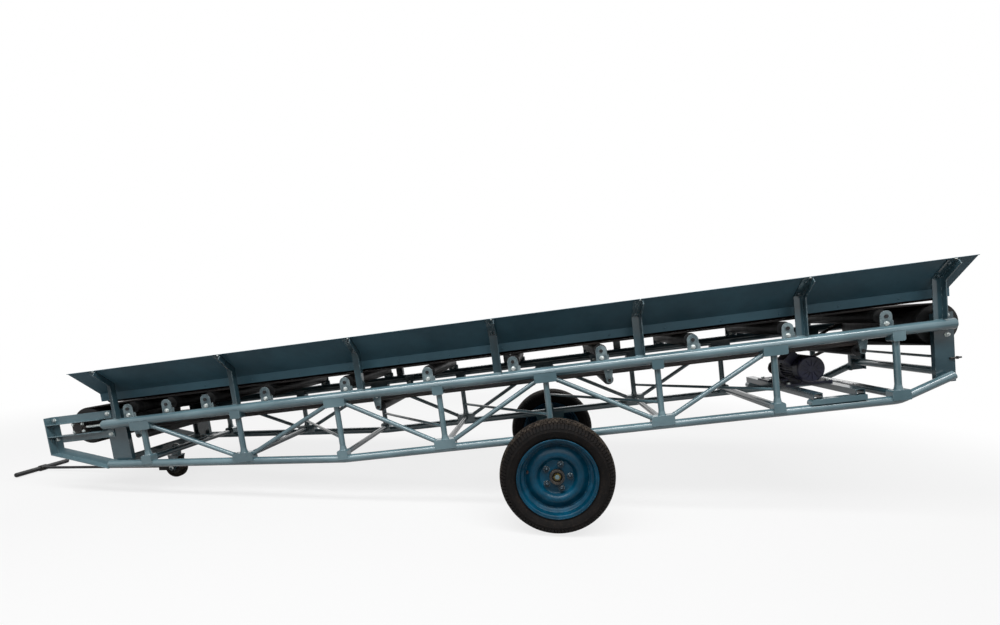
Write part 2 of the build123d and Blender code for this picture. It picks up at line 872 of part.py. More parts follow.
# Motor along Y with its fan end to the right, on two rails across the lower chords
rail_top = -motor_drop - motor_foot_drop
with BuildPart() as motor:
    with BuildSketch(Plane.XZ.offset(motor_from - cowl_length)):
        with Locations((motor_u, -motor_drop)):
            Circle(motor_core_od / 2)
            with PolarLocations(motor_od / 4 + motor_core_od / 8, motor_fins):
                Rectangle(motor_od / 2 - motor_core_od / 4, fin_width)
    extrude(amount=cowl_length + end_bell - motor_length)
    for start, length in ((motor_from, cowl_length), (motor_from + end_bell - motor_length, end_bell)):
        with BuildSketch(Plane.XZ.offset(start)):
            with Locations((motor_u, -motor_drop)):
                Circle(motor_od / 2)
        extrude(amount=-length)
    cowl_edge = edges().filter_by(GeomType.CIRCLE).sort_by(Axis.Y)[0]
    fillet(cowl_edge, cowl_round)
    with BuildSketch(Plane.XZ.offset(motor_from)):
        with Locations((motor_u, -motor_drop)):
            with PolarLocations(motor_od / 4, cowl_slots):
                Rectangle(motor_od / 4, cowl_slot_width)
    extrude(amount=-cowl_slot_depth, mode=Mode.SUBTRACT)
    box_plane = Plane(origin=(motor_u, motor_length / 2 - motor_from, -motor_drop),
                      x_dir=(0, 1, 0), z_dir=(cos(radians(terminal_angle)), 0, sin(radians(terminal_angle))))
    with BuildSketch(box_plane) as box_section:
        RectangleRounded(terminal_length, terminal_depth, terminal_corner)
    extrude(box_section.sketch, amount=motor_od / 2 + terminal_height)
    with Locations(((rail_u[0] + rail_u[1]) / 2, motor_length / 2 - motor_from, rail_top)):
        Box(rail_pitch + rail_width, motor_foot_length, motor_foot,
            align=(Align.CENTER, Align.CENTER, Align.MIN))
    with Locations((motor_u, motor_length / 2 - motor_from, rail_top)):
        Box(motor_od / 2, motor_foot_length, motor_foot_drop,
            align=(Align.CENTER, Align.CENTER, Align.MIN))
keep(motor.part, "motor")

chain_centre = bearing_from - chain_gap - chain_inner_width / 2 - 2 * link_plate
with BuildPart() as reducer:
    case_from = reducer_from + reducer_boss
    case_foot = rail_top + motor_foot
    case_height = reducer_top - reducer_drop - case_foot
    with BuildSketch(Plane.XZ.offset(-case_from)):
        with Locations((reducer_u, case_foot + case_height / 2)):
            RectangleRounded(reducer_case_width, case_height, reducer_corner)
    extrude(amount=-reducer_case_length)
    with BuildSketch(Plane.XZ.offset(reducer_flange / 2 - case_from - reducer_case_length / 2)):
        with Locations((reducer_u, case_foot + case_height / 2)):
            RectangleRounded(reducer_case_width + reducer_flange, case_height + reducer_flange,
                             reducer_corner)
    extrude(amount=-reducer_flange)
    with BuildSketch(Plane.XZ.offset(-reducer_from)):
        with Locations((reducer_u, -reducer_drop)):
            Circle(reducer_boss_od / 2)
    extrude(amount=-reducer_length)
    with Locations(((rail_u[0] + rail_u[1]) / 2, reducer_from + reducer_length / 2, rail_top)):
        Box(rail_pitch + rail_width, motor_foot_length, motor_foot,
            align=(Align.CENTER, Align.CENTER, Align.MIN))
    rod((reducer_u, reducer_from, -reducer_drop),
        (reducer_u, chain_centre - sprocket_width / 2 - touch, -reducer_drop), reducer_shaft)
keep(reducer.part, "reducer")

# Rails under the drive, and the seats that carry them on the lower chords
seat_top = rail_top - rail_height
with BuildPart() as motor_rails:
    for u in rail_u:
        with BuildSketch(Plane.XZ):
            with Locations((u, seat_top + rail_height / 2)):
                Rectangle(rail_width, rail_height)
            with Locations((u, seat_top + rail_height / 2 - rail_wall)):
                Rectangle(rail_width - 2 * rail_wall, rail_height, mode=Mode.SUBTRACT)
        extrude(amount=truss_half + rail_width / 2, both=True)
keep(motor_rails.part, "motor_rails")

seat_foot = -truss_depth + lower_r + touch
with BuildPart() as motor_seat:
    with BuildSketch(Plane.XZ.offset(truss_half - rail_width / 2)):
        with Locations((rail_u[0] - seat_margin, seat_foot)):
            Rectangle(rail_pitch + 2 * seat_margin, seat_top - seat_foot, align=(Align.MIN, Align.MIN))
        fillet(vertices().group_by(Axis.X)[0].sort_by(Axis.Y)[-1], seat_round)
    extrude(amount=rail_width)
    with Locations((rail_u[-1] + seat_margin, -truss_half, seat_foot)):
        Box(rail_pitch + 2 * seat_margin - seat_round, rail_width - 2 * rail_wall,
            seat_top - seat_foot - rail_wall, align=(Align.MAX, Align.CENTER, Align.MIN), mode=Mode.SUBTRACT)
keep_pair(motor_seat.part, "motor_seat")

# Chain drive from the reducer up to the head drum, inside the left head plate. Its pitch line is
# two straight runs and two arcs, and the pins lie evenly along it.
chain_run = hypot(head_u - reducer_u, reducer_drop)
chain_climb = atan2(reducer_drop, head_u - reducer_u)
chain_pitch = 2 * chain_run / (chain_links - (drive_teeth + drum_teeth) / 2)
drive_pitch_r = drive_teeth * chain_pitch / (2 * pi)
drum_pitch_r = drum_teeth * chain_pitch / (2 * pi)
chain_lead = acos((drive_pitch_r - drum_pitch_r) / chain_run)


def pitch_point(centre, radius, angle):
    """Point of a pitch circle, as distance along the truss and height."""
    return (centre[0] + radius * cos(angle), centre[1] + radius * sin(angle))


drive_centre = (reducer_u, -reducer_drop)
drum_centre = (head_u, 0)
with BuildLine(Plane.XZ) as pitch_line:
    run_ends = []
    for way in (1, -1):
        angle = chain_climb + way * chain_lead
        run_ends.append((pitch_point(drive_centre, drive_pitch_r, angle),
                         pitch_point(drum_centre, drum_pitch_r, angle)))
    (drive_top, drum_top), (drive_low, drum_low) = run_ends
    Line(drive_top, drum_top)
    ThreePointArc(drum_top, pitch_point(drum_centre, drum_pitch_r, chain_climb), drum_low)
    Line(drum_low, drive_low)
    ThreePointArc(drive_low, pitch_point(drive_centre, -drive_pitch_r, chain_climb), drive_top)
chain_loop = pitch_line.wires()[0]
pins = [(chain_loop @ (index / chain_links)) for index in range(chain_links)]
pins = [(pin.X, pin.Z) for pin in pins]


def link_plates(first, inner_face):
    """Every other link's pair of plates, from this far either side of the chain's middle."""
    for face in (chain_centre + inner_face, chain_centre - inner_face - link_plate):
        with BuildSketch(Plane.XZ.offset(-face)) as plates:
            for index in range(first, chain_links, 2):
                start, end = pins[index], pins[(index + 1) % chain_links]
                middle = ((start[0] + end[0]) / 2, (start[1] + end[1]) / 2)
                turn = degrees(atan2(end[1] - start[1], end[0] - start[0]))
                with Locations(Location((*middle, 0), (0, 0, turn))):
                    Polygon(
                        (-chain_pitch / 2 - link_end, 0),
                        (-chain_pitch / 2, link_half),
                        (chain_pitch / 2, link_half),
                        (chain_pitch / 2 + link_end, 0),
                        (chain_pitch / 2, -link_half),
                        (-chain_pitch / 2, -link_half),
                        align=None,
                    )
        extrude(plates.sketch, amount=-link_plate)


with BuildPart() as drive_chain:
    with BuildSketch(Plane.XZ.offset(-chain_centre)) as rollers:
        with Locations(*pins):
            RegularPolygon(chain_roller_od / 2, 6)
    extrude(rollers.sketch, amount=chain_inner_width / 2, both=True)
    link_plates(0, chain_inner_width / 2)
    link_plates(1, chain_inner_width / 2 + link_plate)
keep(drive_chain.part, "drive_chain")

# Sprockets, with a gap between teeth for each pin that lies on them
root_drop = chain_roller_od / 2 + touch
with BuildPart() as sprockets:
    for (u, w), teeth, radius, bore in (
        (drive_centre, drive_teeth, drive_pitch_r, 0),
        (drum_centre, drum_teeth, drum_pitch_r, drum_shaft / 2 + touch),
    ):
        seated = [pin for pin in pins if abs(hypot(pin[0] - u, pin[1] - w) - radius) < touch]
        phase = atan2(seated[-1][1] - w, seated[-1][0] - u)
        step = 2 * pi / teeth
        outline = []
        for tooth in range(teeth):
            for share, rise in tooth_shares:
                angle = phase + step * (tooth + share)
                reach = radius - root_drop + rise * (root_drop + tooth_tip)
                outline.append((u + reach * cos(angle), w + reach * sin(angle)))
        with BuildSketch(Plane.XZ.offset(-chain_centre)):
            Polygon(*outline, align=None)
            if bore:
                with Locations((u, w)):
                    Circle(bore, mode=Mode.SUBTRACT)
        extrude(amount=sprocket_width / 2, both=True)
keep(sprockets.part, "sprockets")

# Castor beam across the tail, level with the ground, with the kingpin's housing under it
fork_half = castor_width / 2 + castor_side_gap + fork_plate
yoke_half = fork_half + yoke_side_gap
castor_axle_reach = yoke_half + yoke_plate + castor_axle_end
crown_z = castor_od + castor_crown_gap
race_z = crown_z + fork_plate + race_height
beam_z = castor_chord_z - beam_plate / 2
beam_half = truss_half - lower_r - touch
with BuildPart() as castor_beam:
    with Locations((castor_x, 0, beam_z)):
        Box(beam_width, 2 * beam_half, beam_plate, align=(Align.CENTER, Align.CENTER, Align.MIN))
    for way in (1, -1):
        with Locations((castor_x + way * (beam_width - beam_leg_wall) / 2, 0, beam_z)):
            Box(beam_leg_wall, 2 * (beam_half - beam_leg_inset), beam_leg,
                align=(Align.CENTER, Align.CENTER, Align.MIN))
    rod((castor_x, 0, race_z + touch), (castor_x, 0, beam_z + beam_plate), boss_od)
    with BuildSketch(Plane.XY.offset(race_z - overrun)):
        with Locations((castor_x, 0)):
            Circle(kingpin_od / 2 + touch)
    extrude(amount=beam_z + beam_plate - race_z + 2 * overrun, mode=Mode.SUBTRACT)
keep(castor_beam.part, "castor_beam", level)

# Castor fork: crown, two arms, race, kingpin and the wheel's axle
with BuildPart() as castor_fork:
    with Locations((castor_x, 0, crown_z)):
        Box(crown_length, 2 * fork_half, fork_plate, align=(Align.CENTER, Align.CENTER, Align.MIN))
    with BuildSketch(Plane.XZ.offset(fork_half - fork_plate)):
        Polygon(
            (castor_x - crown_length / 2, crown_z + fork_plate),
            (castor_x + crown_length / 2, crown_z + fork_plate),
            (castor_x + fork_foot, castor_r),
            (castor_x - fork_foot, castor_r),
            align=None,
        )
        with Locations((castor_x, castor_r)):
            Circle(fork_foot)
    extrude(amount=fork_plate)
    mirror(about=Plane.XZ)
    rod((castor_x, 0, crown_z + fork_plate), (castor_x, 0, race_z), race_od)
    rod((castor_x, 0, race_z), (castor_x, 0, beam_z + beam_plate + touch), kingpin_od)
    rod((castor_x, 0, beam_z + beam_plate + touch),
        (castor_x, 0, beam_z + beam_plate + touch + kingpin_head), kingpin_head_od)
    rod((castor_x, -castor_axle_reach, castor_r), (castor_x, castor_axle_reach, castor_r), castor_axle)
keep(castor_fork.part, "castor_fork", level)

# Castor wheel: rubber tyre on a turned hub
with BuildPart() as castor_hub:
    rod((castor_x, -castor_width / 2, castor_r), (castor_x, castor_width / 2, castor_r), castor_hub_od)
    for face, dish in ((castor_width / 2, -castor_dish), (-castor_width / 2, castor_dish)):
        with BuildSketch(Plane.XZ.offset(face)):
            with Locations((castor_x, castor_r)):
                Circle(castor_dish_od / 2)
                Circle(castor_boss_od / 2, mode=Mode.SUBTRACT)
        extrude(amount=dish, mode=Mode.SUBTRACT)
    with BuildSketch(Plane.XZ.offset(castor_width)):
        with Locations((castor_x, castor_r)):
            Circle(castor_axle / 2 + touch)
    extrude(amount=-2 * castor_width, mode=Mode.SUBTRACT)
keep(castor_hub.part, "castor_hub", level)

with BuildPart() as castor_tyre:
    with BuildSketch(Plane.XZ.offset(-castor_width / 2)):
        with Locations((castor_x, castor_r)):
            Circle(castor_r)
            Circle(castor_hub_od / 2 + touch, mode=Mode.SUBTRACT)
    extrude(amount=castor_width)
    fillet(edges().filter_by(GeomType.CIRCLE).group_by(SortBy.RADIUS)[-1], castor_round)
keep(castor_tyre.part, "castor_tyre", level)

# Drawbar: a yoke astride the fork, a long rod and the tee grip, whose collar lies on the ground
droop = degrees(atan2(castor_r - collar_r, drawbar_reach))
drawbar_length = hypot(drawbar_reach, castor_r - collar_r)
yoke_reach = castor_r + yoke_clearance + yoke_plate
drawbar_place = Location((castor_x, 0, castor_r), (0, -droop, 0))
with BuildPart() as drawbar:
    with BuildSketch(Plane.XZ.offset(yoke_half)):
        with Locations((-yoke_reach / 2, 0)):
            Rectangle(yoke_reach, yoke_depth)
        Circle(yoke_depth / 2)
        Circle(castor_axle / 2 + touch, mode=Mode.SUBTRACT)
    extrude(amount=yoke_plate)
    mirror(about=Plane.XZ)
    with Locations((-yoke_reach, 0, 0)):
        Box(yoke_plate, 2 * (yoke_half + yoke_plate), yoke_depth,
            align=(Align.MIN, Align.CENTER, Align.CENTER))
    rod((-yoke_reach, 0, 0), (collar_r + touch - drawbar_length, 0, 0), drawbar_od)
keep(drawbar.part, "drawbar", drawbar_place)

with BuildPart() as drawbar_grip:
    rod((-drawbar_length, -grip_half, 0), (-drawbar_length, grip_half, 0), grip_od)
    grip_ends = edges().filter_by(GeomType.CIRCLE)
    fillet(grip_ends, grip_round)
    rod((-drawbar_length, -collar_half, 0), (-drawbar_length, collar_half, 0), collar_od)
keep(drawbar_grip.part, "drawbar_grip", drawbar_place)
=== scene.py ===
"""The looks of a portable belt conveyor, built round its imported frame.

Lengths are in metres. Most pieces are laid out in the conveyor's own frame: u runs up the truss
from over the road axle, y to the machine's left, and w square to the belt, from the top chords'
centre line. stand() turns such points into the row frame. Places on the frame are those of the
machine's right side, where y is negative; its left side has their copies or mirror images.
"""

import json
import math

import bmesh
import bpy
import numpy as np
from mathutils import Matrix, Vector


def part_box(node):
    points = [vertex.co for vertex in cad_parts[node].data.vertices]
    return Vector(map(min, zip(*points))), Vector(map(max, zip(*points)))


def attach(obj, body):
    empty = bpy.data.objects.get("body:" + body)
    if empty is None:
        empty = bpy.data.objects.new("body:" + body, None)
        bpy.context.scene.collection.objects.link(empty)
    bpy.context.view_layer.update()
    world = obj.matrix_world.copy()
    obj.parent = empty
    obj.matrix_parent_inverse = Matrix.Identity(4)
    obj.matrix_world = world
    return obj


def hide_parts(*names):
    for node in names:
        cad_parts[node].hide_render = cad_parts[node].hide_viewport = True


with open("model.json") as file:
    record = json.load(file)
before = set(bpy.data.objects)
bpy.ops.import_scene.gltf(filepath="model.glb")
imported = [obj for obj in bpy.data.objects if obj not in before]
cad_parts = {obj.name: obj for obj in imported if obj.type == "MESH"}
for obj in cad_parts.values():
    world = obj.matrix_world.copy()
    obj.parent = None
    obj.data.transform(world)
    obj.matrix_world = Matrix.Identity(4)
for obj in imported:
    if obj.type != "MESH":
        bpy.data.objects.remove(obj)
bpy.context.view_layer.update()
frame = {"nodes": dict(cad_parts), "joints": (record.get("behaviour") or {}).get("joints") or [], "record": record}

# The conveyor's stance, from the road axle that the frame gives
INCLINE = math.radians(8.24)
AXLE_DROP = 0.552
JOINTS = {joint["name"]: joint for joint in frame["joints"]}
AXLE = JOINTS["wheel_right_spin"]["pos_m"]
TRACK_HALF = -AXLE[1]
ALONG = np.array([math.cos(INCLINE), 0, math.sin(INCLINE)])
ACROSS = np.array([0, 1, 0])
UPRIGHT = np.array([-math.sin(INCLINE), 0, math.cos(INCLINE)])
STANCE = np.array([ALONG, ACROSS, UPRIGHT])
ZERO = np.array([AXLE[0], 0, AXLE[2]]) + AXLE_DROP * UPRIGHT

# Truss sizes that the added pieces follow
PANEL = 0.636
PANEL_U = tuple(PANEL * (index - 4) for index in range(8))
TRUSS_HALF = 0.409
CHORD_R = 0.030
TRUSS_DEPTH = 0.382


def stand(points):
    """Points (u, y, w) of the conveyor in the row frame: zero + u along + y across + w upright."""
    return np.asarray(points, float) @ STANCE + ZERO


# Materials


class Value:
    """One output of a node, so that shader maths reads as an expression."""

    def __init__(self, finish, socket):
        self.finish = finish
        self.socket = socket

    def maths(self, operation, first, second):
        return self.finish.node("ShaderNodeMath", {"operation": operation}, {0: first, 1: second})

    def __add__(self, other):
        return self.maths("ADD", self, other)

    def __radd__(self, other):
        return self.maths("ADD", other, self)

    def __rsub__(self, other):
        return self.maths("SUBTRACT", other, self)

    def __mul__(self, other):
        return self.maths("MULTIPLY", self, other)

    def __rmul__(self, other):
        return self.maths("MULTIPLY", other, self)


class Finish:
    """A material in the making: node() adds any node, and surface() ends it on the shader."""

    def __init__(self, name):
        self.material = bpy.data.materials.new(name)
        self.material.use_nodes = True
        self.tree = self.material.node_tree
        self.shader = self.tree.nodes["Principled BSDF"]
        self.place = self.node("ShaderNodeTexCoord", output="Object")

    def node(self, kind, settings=None, inputs=None, output=0):
        """A node of this type: its settings first, then its sockets' values or links."""
        made = self.tree.nodes.new(kind)
        for key, value in (settings or {}).items():
            setattr(made, key, value)
        for key, value in (inputs or {}).items():
            if isinstance(value, Value):
                self.tree.links.new(value.socket, made.inputs[key])
            else:
                made.inputs[key].default_value = value
        return Value(self, made.outputs[output])

    def noise(self, scale, detail=3.0, roughness=0.5, stretch=(1, 1, 1)):
        """Smooth noise from 0 to 1, scale lumps to the metre, times stretch along each axis."""
        spread = self.node("ShaderNodeMapping", None, {"Vector": self.place, "Scale": stretch})
        inputs = {"Vector": spread, "Scale": scale, "Detail": detail, "Roughness": roughness}
        return self.node("ShaderNodeTexNoise", None, inputs)

    def cells(self, scale):
        """Distance to the nearest of many scattered points."""
        return self.node("ShaderNodeTexVoronoi", None, {"Vector": self.place, "Scale": scale})

    def step(self, value, low, high):
        """0 below low, 1 above high, and smooth between."""
        return self.node("ShaderNodeMapRange", {"interpolation_type": "SMOOTHSTEP"},
                         {"Value": value, "From Min": low, "From Max": high})

    def blend(self, share, low, high):
        """Colour low where share is 0, and high where it is 1."""
        return self.node("ShaderNodeMix", {"data_type": "RGBA"}, {0: share, 6: low, 7: high}, 2)

    def mottled(self, pattern, dark, light, low=0.35, high=0.7):
        """Colour dark where the pattern is below low, light where it is above high."""
        return self.blend(self.step(pattern, low, high), dark, light)

    def tint(self, colour, share):
        """The colour multiplied by a grey value."""
        grey = self.node("ShaderNodeCombineColor", None, {0: share, 1: share, 2: share})
        return self.node("ShaderNodeMix", {"data_type": "RGBA", "blend_type": "MULTIPLY"},
                         {0: 1.0, 6: colour, 7: grey}, output=2)

    def rounded_normal(self, radius):
        """The surface's normal, with its sharp edges rounded by this radius."""
        return self.node("ShaderNodeBevel", {"samples": 4}, {"Radius": radius})

    def edges(self, radius, low, high):
        """1 along sharp edges: where the rounded normal leaves the true one."""
        rounded = self.rounded_normal(radius)
        true = self.node("ShaderNodeNewGeometry", output="Normal")
        agreement = self.node("ShaderNodeVectorMath", {"operation": "DOT_PRODUCT"},
                              {0: rounded, 1: true}, output="Value")
        return self.step(1 - agreement, low, high)

    def relief(self, height, distance, strength=1.0, radius=0.0):
        """A bump of this height, on edges rounded by the radius."""
        inputs = {"Height": height, "Distance": distance, "Strength": strength}
        if radius:
            inputs["Normal"] = self.rounded_normal(radius)
        return self.node("ShaderNodeBump", None, inputs)

    def reach_from(self, centre):
        """Distance from the line across the machine through a centre."""
        flat = self.node("ShaderNodeVectorMath", {"operation": "MULTIPLY"},
                         {0: self.place, 1: (1, 0, 1)})
        return self.node("ShaderNodeVectorMath", {"operation": "DISTANCE"},
                         {0: flat, 1: (centre[0], 0, centre[2])}, output="Value")

    def surface(self, **sockets):
        """End on the shader: linked where the value varies, set where it doesn't."""
        for key, value in sockets.items():
            socket = self.shader.inputs[key.replace("_", " ")]
            if isinstance(value, Value):
                self.tree.links.new(value.socket, socket)
            else:
                socket.default_value = value
        return self.material


def srgb(red, green, blue):
    """A colour given in the 0 to 255 steps of a screen, as the linear colour that shaders take."""
    steps = np.array([red, green, blue]) / 255
    linear = np.where(steps <= 0.04045, steps / 12.92, ((steps + 0.055) / 1.055) ** 2.4)
    return (*map(float, linear), 1.0)


def painted_steel(name, dull, bright):
    """Gloss enamel between two tones: cloudy, streaked, specked with rust, chipped on edges."""
    finish = Finish(name)
    clouds = finish.noise(3.1, 4)
    specks = finish.noise(160, 2)
    colour = finish.mottled(clouds, dull, bright)
    streaks = finish.noise(14, 5, 0.6, (0.35, 1, 2.4))
    colour = finish.blend(finish.step(streaks, 0.56, 0.78) * 0.35, colour, srgb(58, 74, 78))
    worn = finish.edges(0.004, 0.02, 0.25) * finish.step(finish.noise(34, 4, 0.65), 0.48, 0.62)
    colour = finish.blend(worn * 0.75, colour, srgb(150, 168, 172))
    rust = finish.step(finish.noise(22, 6, 0.7), 0.68, 0.74)
    colour = finish.blend(rust * 0.6, colour, srgb(74, 52, 40))
    rough = 0.15 + clouds * 0.1 + rust * 0.35 + worn * 0.1
    return finish.surface(Base_Color=colour, Roughness=rough, Coat_Weight=0.6, Coat_Roughness=0.08,
                          Normal=finish.relief(specks, 0.0002, 0.2, radius=0.0018))


def skirt_paint():
    """Dark slate paint on thin sheet that is slightly uneven, dusty and scuffed along its run."""
    finish = Finish("skirt_paint")
    clouds = finish.noise(2.2, 5, 0.6)
    colour = finish.mottled(clouds, srgb(46, 76, 88), srgb(60, 96, 110), 0.3)
    dust = finish.step(finish.noise(9, 6, 0.7, (0.4, 1, 1.6)), 0.58, 0.8)
    colour = finish.blend(dust * 0.25, colour, srgb(88, 98, 100))
    scuffs = finish.step(finish.noise(26, 8, 0.75, (0.2, 1, 1)), 0.66, 0.72)
    colour = finish.blend(scuffs * 0.3, colour, srgb(104, 118, 122))
    rough = 0.42 + clouds * 0.16 + dust * 0.2
    return finish.surface(Base_Color=colour, Roughness=rough, Specular_IOR_Level=0.35,
                          Normal=finish.relief(finish.noise(5, 3), 0.006, 0.35, radius=0.0012))


def galvanised():
    """Zinc-plated plate: grey spangle, dull in patches, grimy, and rubbed bright on its edges."""
    finish = Finish("galvanised")
    spangle = finish.cells(150)
    clouds = finish.noise(18, 4, 0.6)
    colour = finish.mottled(clouds, srgb(72, 88, 94), srgb(122, 138, 142))
    colour = finish.tint(colour, 0.82 + spangle * 0.25)
    grime = finish.step(finish.noise(46, 6, 0.7), 0.56, 0.7)
    colour = finish.blend(grime * 0.6, colour, srgb(44, 50, 52))
    worn = finish.edges(0.003, 0.02, 0.3)
    colour = finish.blend(worn * 0.6, colour, srgb(196, 208, 210))
    return finish.surface(Base_Color=colour, Metallic=0.55, Roughness=0.38 + clouds * 0.2,
                          Normal=finish.relief(spangle, 0.0003, 0.5, radius=0.0012))


def roller_steel():
    """Dark steel of the rollers and drums, rubbed brighter in rings, with patches of rust."""
    finish = Finish("roller_steel")
    rings = finish.noise(60, 4, 0.6, (0.05, 1, 0.05))
    clouds = finish.noise(11, 4)
    colour = finish.mottled(rings, srgb(16, 16, 17), srgb(44, 45, 46), 0.35, 0.75)
    colour = finish.blend(finish.step(clouds, 0.55, 0.8) * 0.5, colour, srgb(40, 30, 26))
    return finish.surface(Base_Color=colour, Metallic=0.4, Roughness=0.34 + clouds * 0.25,
                          Normal=finish.relief(rings, 0.0004, 0.4, radius=0.001))


def cast_parts():
    """Oiled cast iron: dark and grainy, dusty in patches, worn on its edges."""
    finish = Finish("cast_parts")
    grain = finish.noise(420, 3)
    clouds = finish.noise(30, 5, 0.65)
    colour = finish.mottled(clouds, srgb(26, 25, 25), srgb(62, 56, 50), 0.4)
    worn = finish.edges(0.003, 0.02, 0.3)
    colour = finish.blend(worn * 0.55, colour, srgb(128, 124, 116))
    return finish.surface(Base_Color=colour, Metallic=0.35, Roughness=0.5 + clouds * 0.2,
                          Normal=finish.relief(grain, 0.0006, 0.6, radius=0.0015))


def belt_rubber():
    """Matt black rubber, scuffed along its run; faces that look down are pale brown, partly caked dust and partly
    painted light for those shaded faces.
    """
    finish = Finish("belt_rubber")
    scuffs = finish.noise(30, 6, 0.7, (0.12, 1, 1))
    clouds = finish.noise(3.4, 5, 0.6)
    colour = finish.mottled(scuffs, srgb(20, 18, 18), srgb(48, 44, 42), 0.45, 0.75)
    colour = finish.blend(finish.step(clouds, 0.5, 0.75) * 0.4, colour, srgb(70, 58, 51))
    # Faces that look down lie in shade; their pale brown is partly caked dust, partly painted light standing in
    # for light bounced up onto them
    facing = finish.node("ShaderNodeNewGeometry", output="True Normal")
    upward = finish.node("ShaderNodeSeparateXYZ", None, {0: facing}, output="Z")
    dust_and_painted_light = finish.step(0 - upward, 0.5, 0.9) * finish.step(scuffs, 0.3, 0.6)
    colour = finish.blend(dust_and_painted_light * 0.85, colour, srgb(178, 155, 141))
    grain = finish.noise(520, 2)
    return finish.surface(Base_Color=colour, Roughness=0.62 + scuffs * 0.2, Specular_IOR_Level=0.3,
                          Normal=finish.relief(grain, 0.0004, 0.5, radius=0.002))


def seal_rubber():
    """Dark red-black rubber of the skirts' seal strips."""
    finish = Finish("seal_rubber")
    clouds = finish.noise(6, 5, 0.6, (0.4, 1, 1))
    colour = finish.mottled(clouds, srgb(22, 13, 14), srgb(44, 27, 27))
    return finish.surface(Base_Color=colour, Roughness=0.66, Specular_IOR_Level=0.3,
                          Normal=finish.relief(finish.noise(300, 2), 0.0004, 0.5, radius=0.002))


# Radii between which the road tyres' worn tread begins to show
WORN_TREAD = (0.296, 0.314)


def tyre_rubber():
    """Tyre rubber: near black, dusty in patches, scuffed to grey-brown on the tread."""
    finish = Finish("tyre_rubber")
    clouds = finish.noise(17, 6, 0.65)
    colour = finish.mottled(clouds, srgb(9, 8, 8), srgb(23, 20, 19), 0.35, 0.72)
    dust = finish.step(finish.noise(60, 6, 0.7), 0.52, 0.72)
    colour = finish.blend(dust * 0.25, colour, srgb(70, 59, 50))
    on_tread = finish.step(finish.reach_from(AXLE), *WORN_TREAD)
    worn = on_tread * finish.step(finish.noise(44, 5, 0.7), 0.4, 0.6)
    colour = finish.blend(worn * 0.5, colour, srgb(92, 82, 72))
    return finish.surface(Base_Color=colour, Roughness=0.62 + clouds * 0.2, Specular_IOR_Level=0.12,
                          Normal=finish.relief(finish.noise(360, 3), 0.0005, 0.6))


def rim_paint():
    """Blue gloss enamel of the wheel rims, chipped and dusty."""
    finish = Finish("rim_paint")
    clouds = finish.noise(13, 5, 0.6)
    colour = finish.mottled(clouds, srgb(0, 50, 70), srgb(4, 69, 94))
    dust = finish.step(finish.noise(42, 7, 0.72), 0.62, 0.78)
    colour = finish.blend(dust * 0.2, colour, srgb(48, 88, 104))
    worn = finish.edges(0.003, 0.03, 0.3) * finish.step(finish.noise(70, 3), 0.5, 0.62)
    colour = finish.blend(worn * 0.6, colour, srgb(120, 140, 150))
    rough = 0.26 + dust * 0.3 + clouds * 0.1
    return finish.surface(Base_Color=colour, Roughness=rough, Specular_IOR_Level=0.2,
                          Normal=finish.relief(finish.noise(130, 2), 0.0004, 0.3, radius=0.002))


def motor_paint():
    """Dark blue enamel on castings, chipped on some edges."""
    finish = Finish("motor_paint")
    clouds = finish.noise(16, 5, 0.6)
    colour = finish.mottled(clouds, srgb(7, 9, 32), srgb(14, 20, 52))
    worn = finish.edges(0.003, 0.03, 0.3) * finish.step(finish.noise(60, 4), 0.5, 0.64)
    colour = finish.blend(worn * 0.5, colour, srgb(86, 96, 108))
    return finish.surface(Base_Color=colour, Roughness=0.34 + clouds * 0.2,
                          Normal=finish.relief(finish.noise(260, 3), 0.0005, 0.5, radius=0.0015))


def dark_steel():
    """Black-painted bar, rubbed to bare steel in patches."""
    finish = Finish("dark_steel")
    rub = finish.step(finish.noise(26, 6, 0.7), 0.52, 0.7)
    colour = finish.blend(rub, srgb(20, 21, 23), srgb(74, 72, 68))
    return finish.surface(Base_Color=colour, Metallic=0.4, Roughness=0.38 + rub * 0.2,
                          Normal=finish.relief(finish.noise(200, 3), 0.0003, 0.5))


def bright_zinc():
    """Zinc-plated bolts, nuts and washers."""
    finish = Finish("bright_zinc")
    clouds = finish.noise(90, 4, 0.6)
    colour = finish.mottled(clouds, srgb(168, 176, 176), srgb(226, 230, 226), 0.4)
    return finish.surface(Base_Color=colour, Metallic=0.85, Roughness=0.24 + clouds * 0.18,
                          Normal=finish.relief(clouds, 0.0002, 0.4))


def worn_nut():
    """Blue-black wheel nuts, worn bright on their edges."""
    finish = Finish("worn_nut")
    clouds = finish.noise(120, 4, 0.6)
    worn = finish.edges(0.002, 0.02, 0.25)
    colour = finish.mottled(clouds, srgb(10, 28, 38), srgb(34, 52, 62), 0.4)
    colour = finish.blend(worn * 0.8, colour, srgb(176, 190, 196))
    return finish.surface(Base_Color=colour, Metallic=0.6, Roughness=0.26 + clouds * 0.15,
                          Normal=finish.relief(clouds, 0.0003, 0.4, radius=0.001))


def brass_nut():
    """Yellow-passivated lock nuts of the spindles, greasy in patches."""
    finish = Finish("brass_nut")
    clouds = finish.noise(110, 4, 0.6)
    colour = finish.mottled(clouds, srgb(66, 57, 28), srgb(140, 124, 70), 0.4)
    return finish.surface(Base_Color=colour, Metallic=0.8, Roughness=0.3 + clouds * 0.15,
                          Normal=finish.relief(clouds, 0.0003, 0.4, radius=0.001))


def dress(node, finish):
    """Give a node of the frame its one finish."""
    slots = frame["nodes"][node].data.materials
    slots.clear()
    slots.append(finish)


# The frame has materials with the slots' names, so these names may end in a dot and a number
SLOT_FINISHES = {
    made.name.split(".")[0]: made
    for made in (
        painted_steel("painted_steel", srgb(74, 99, 107), srgb(97, 124, 132)),
        skirt_paint(), galvanised(), roller_steel(), cast_parts(), belt_rubber(), seal_rubber(),
        tyre_rubber(), rim_paint(), motor_paint(), dark_steel(),
    )
}
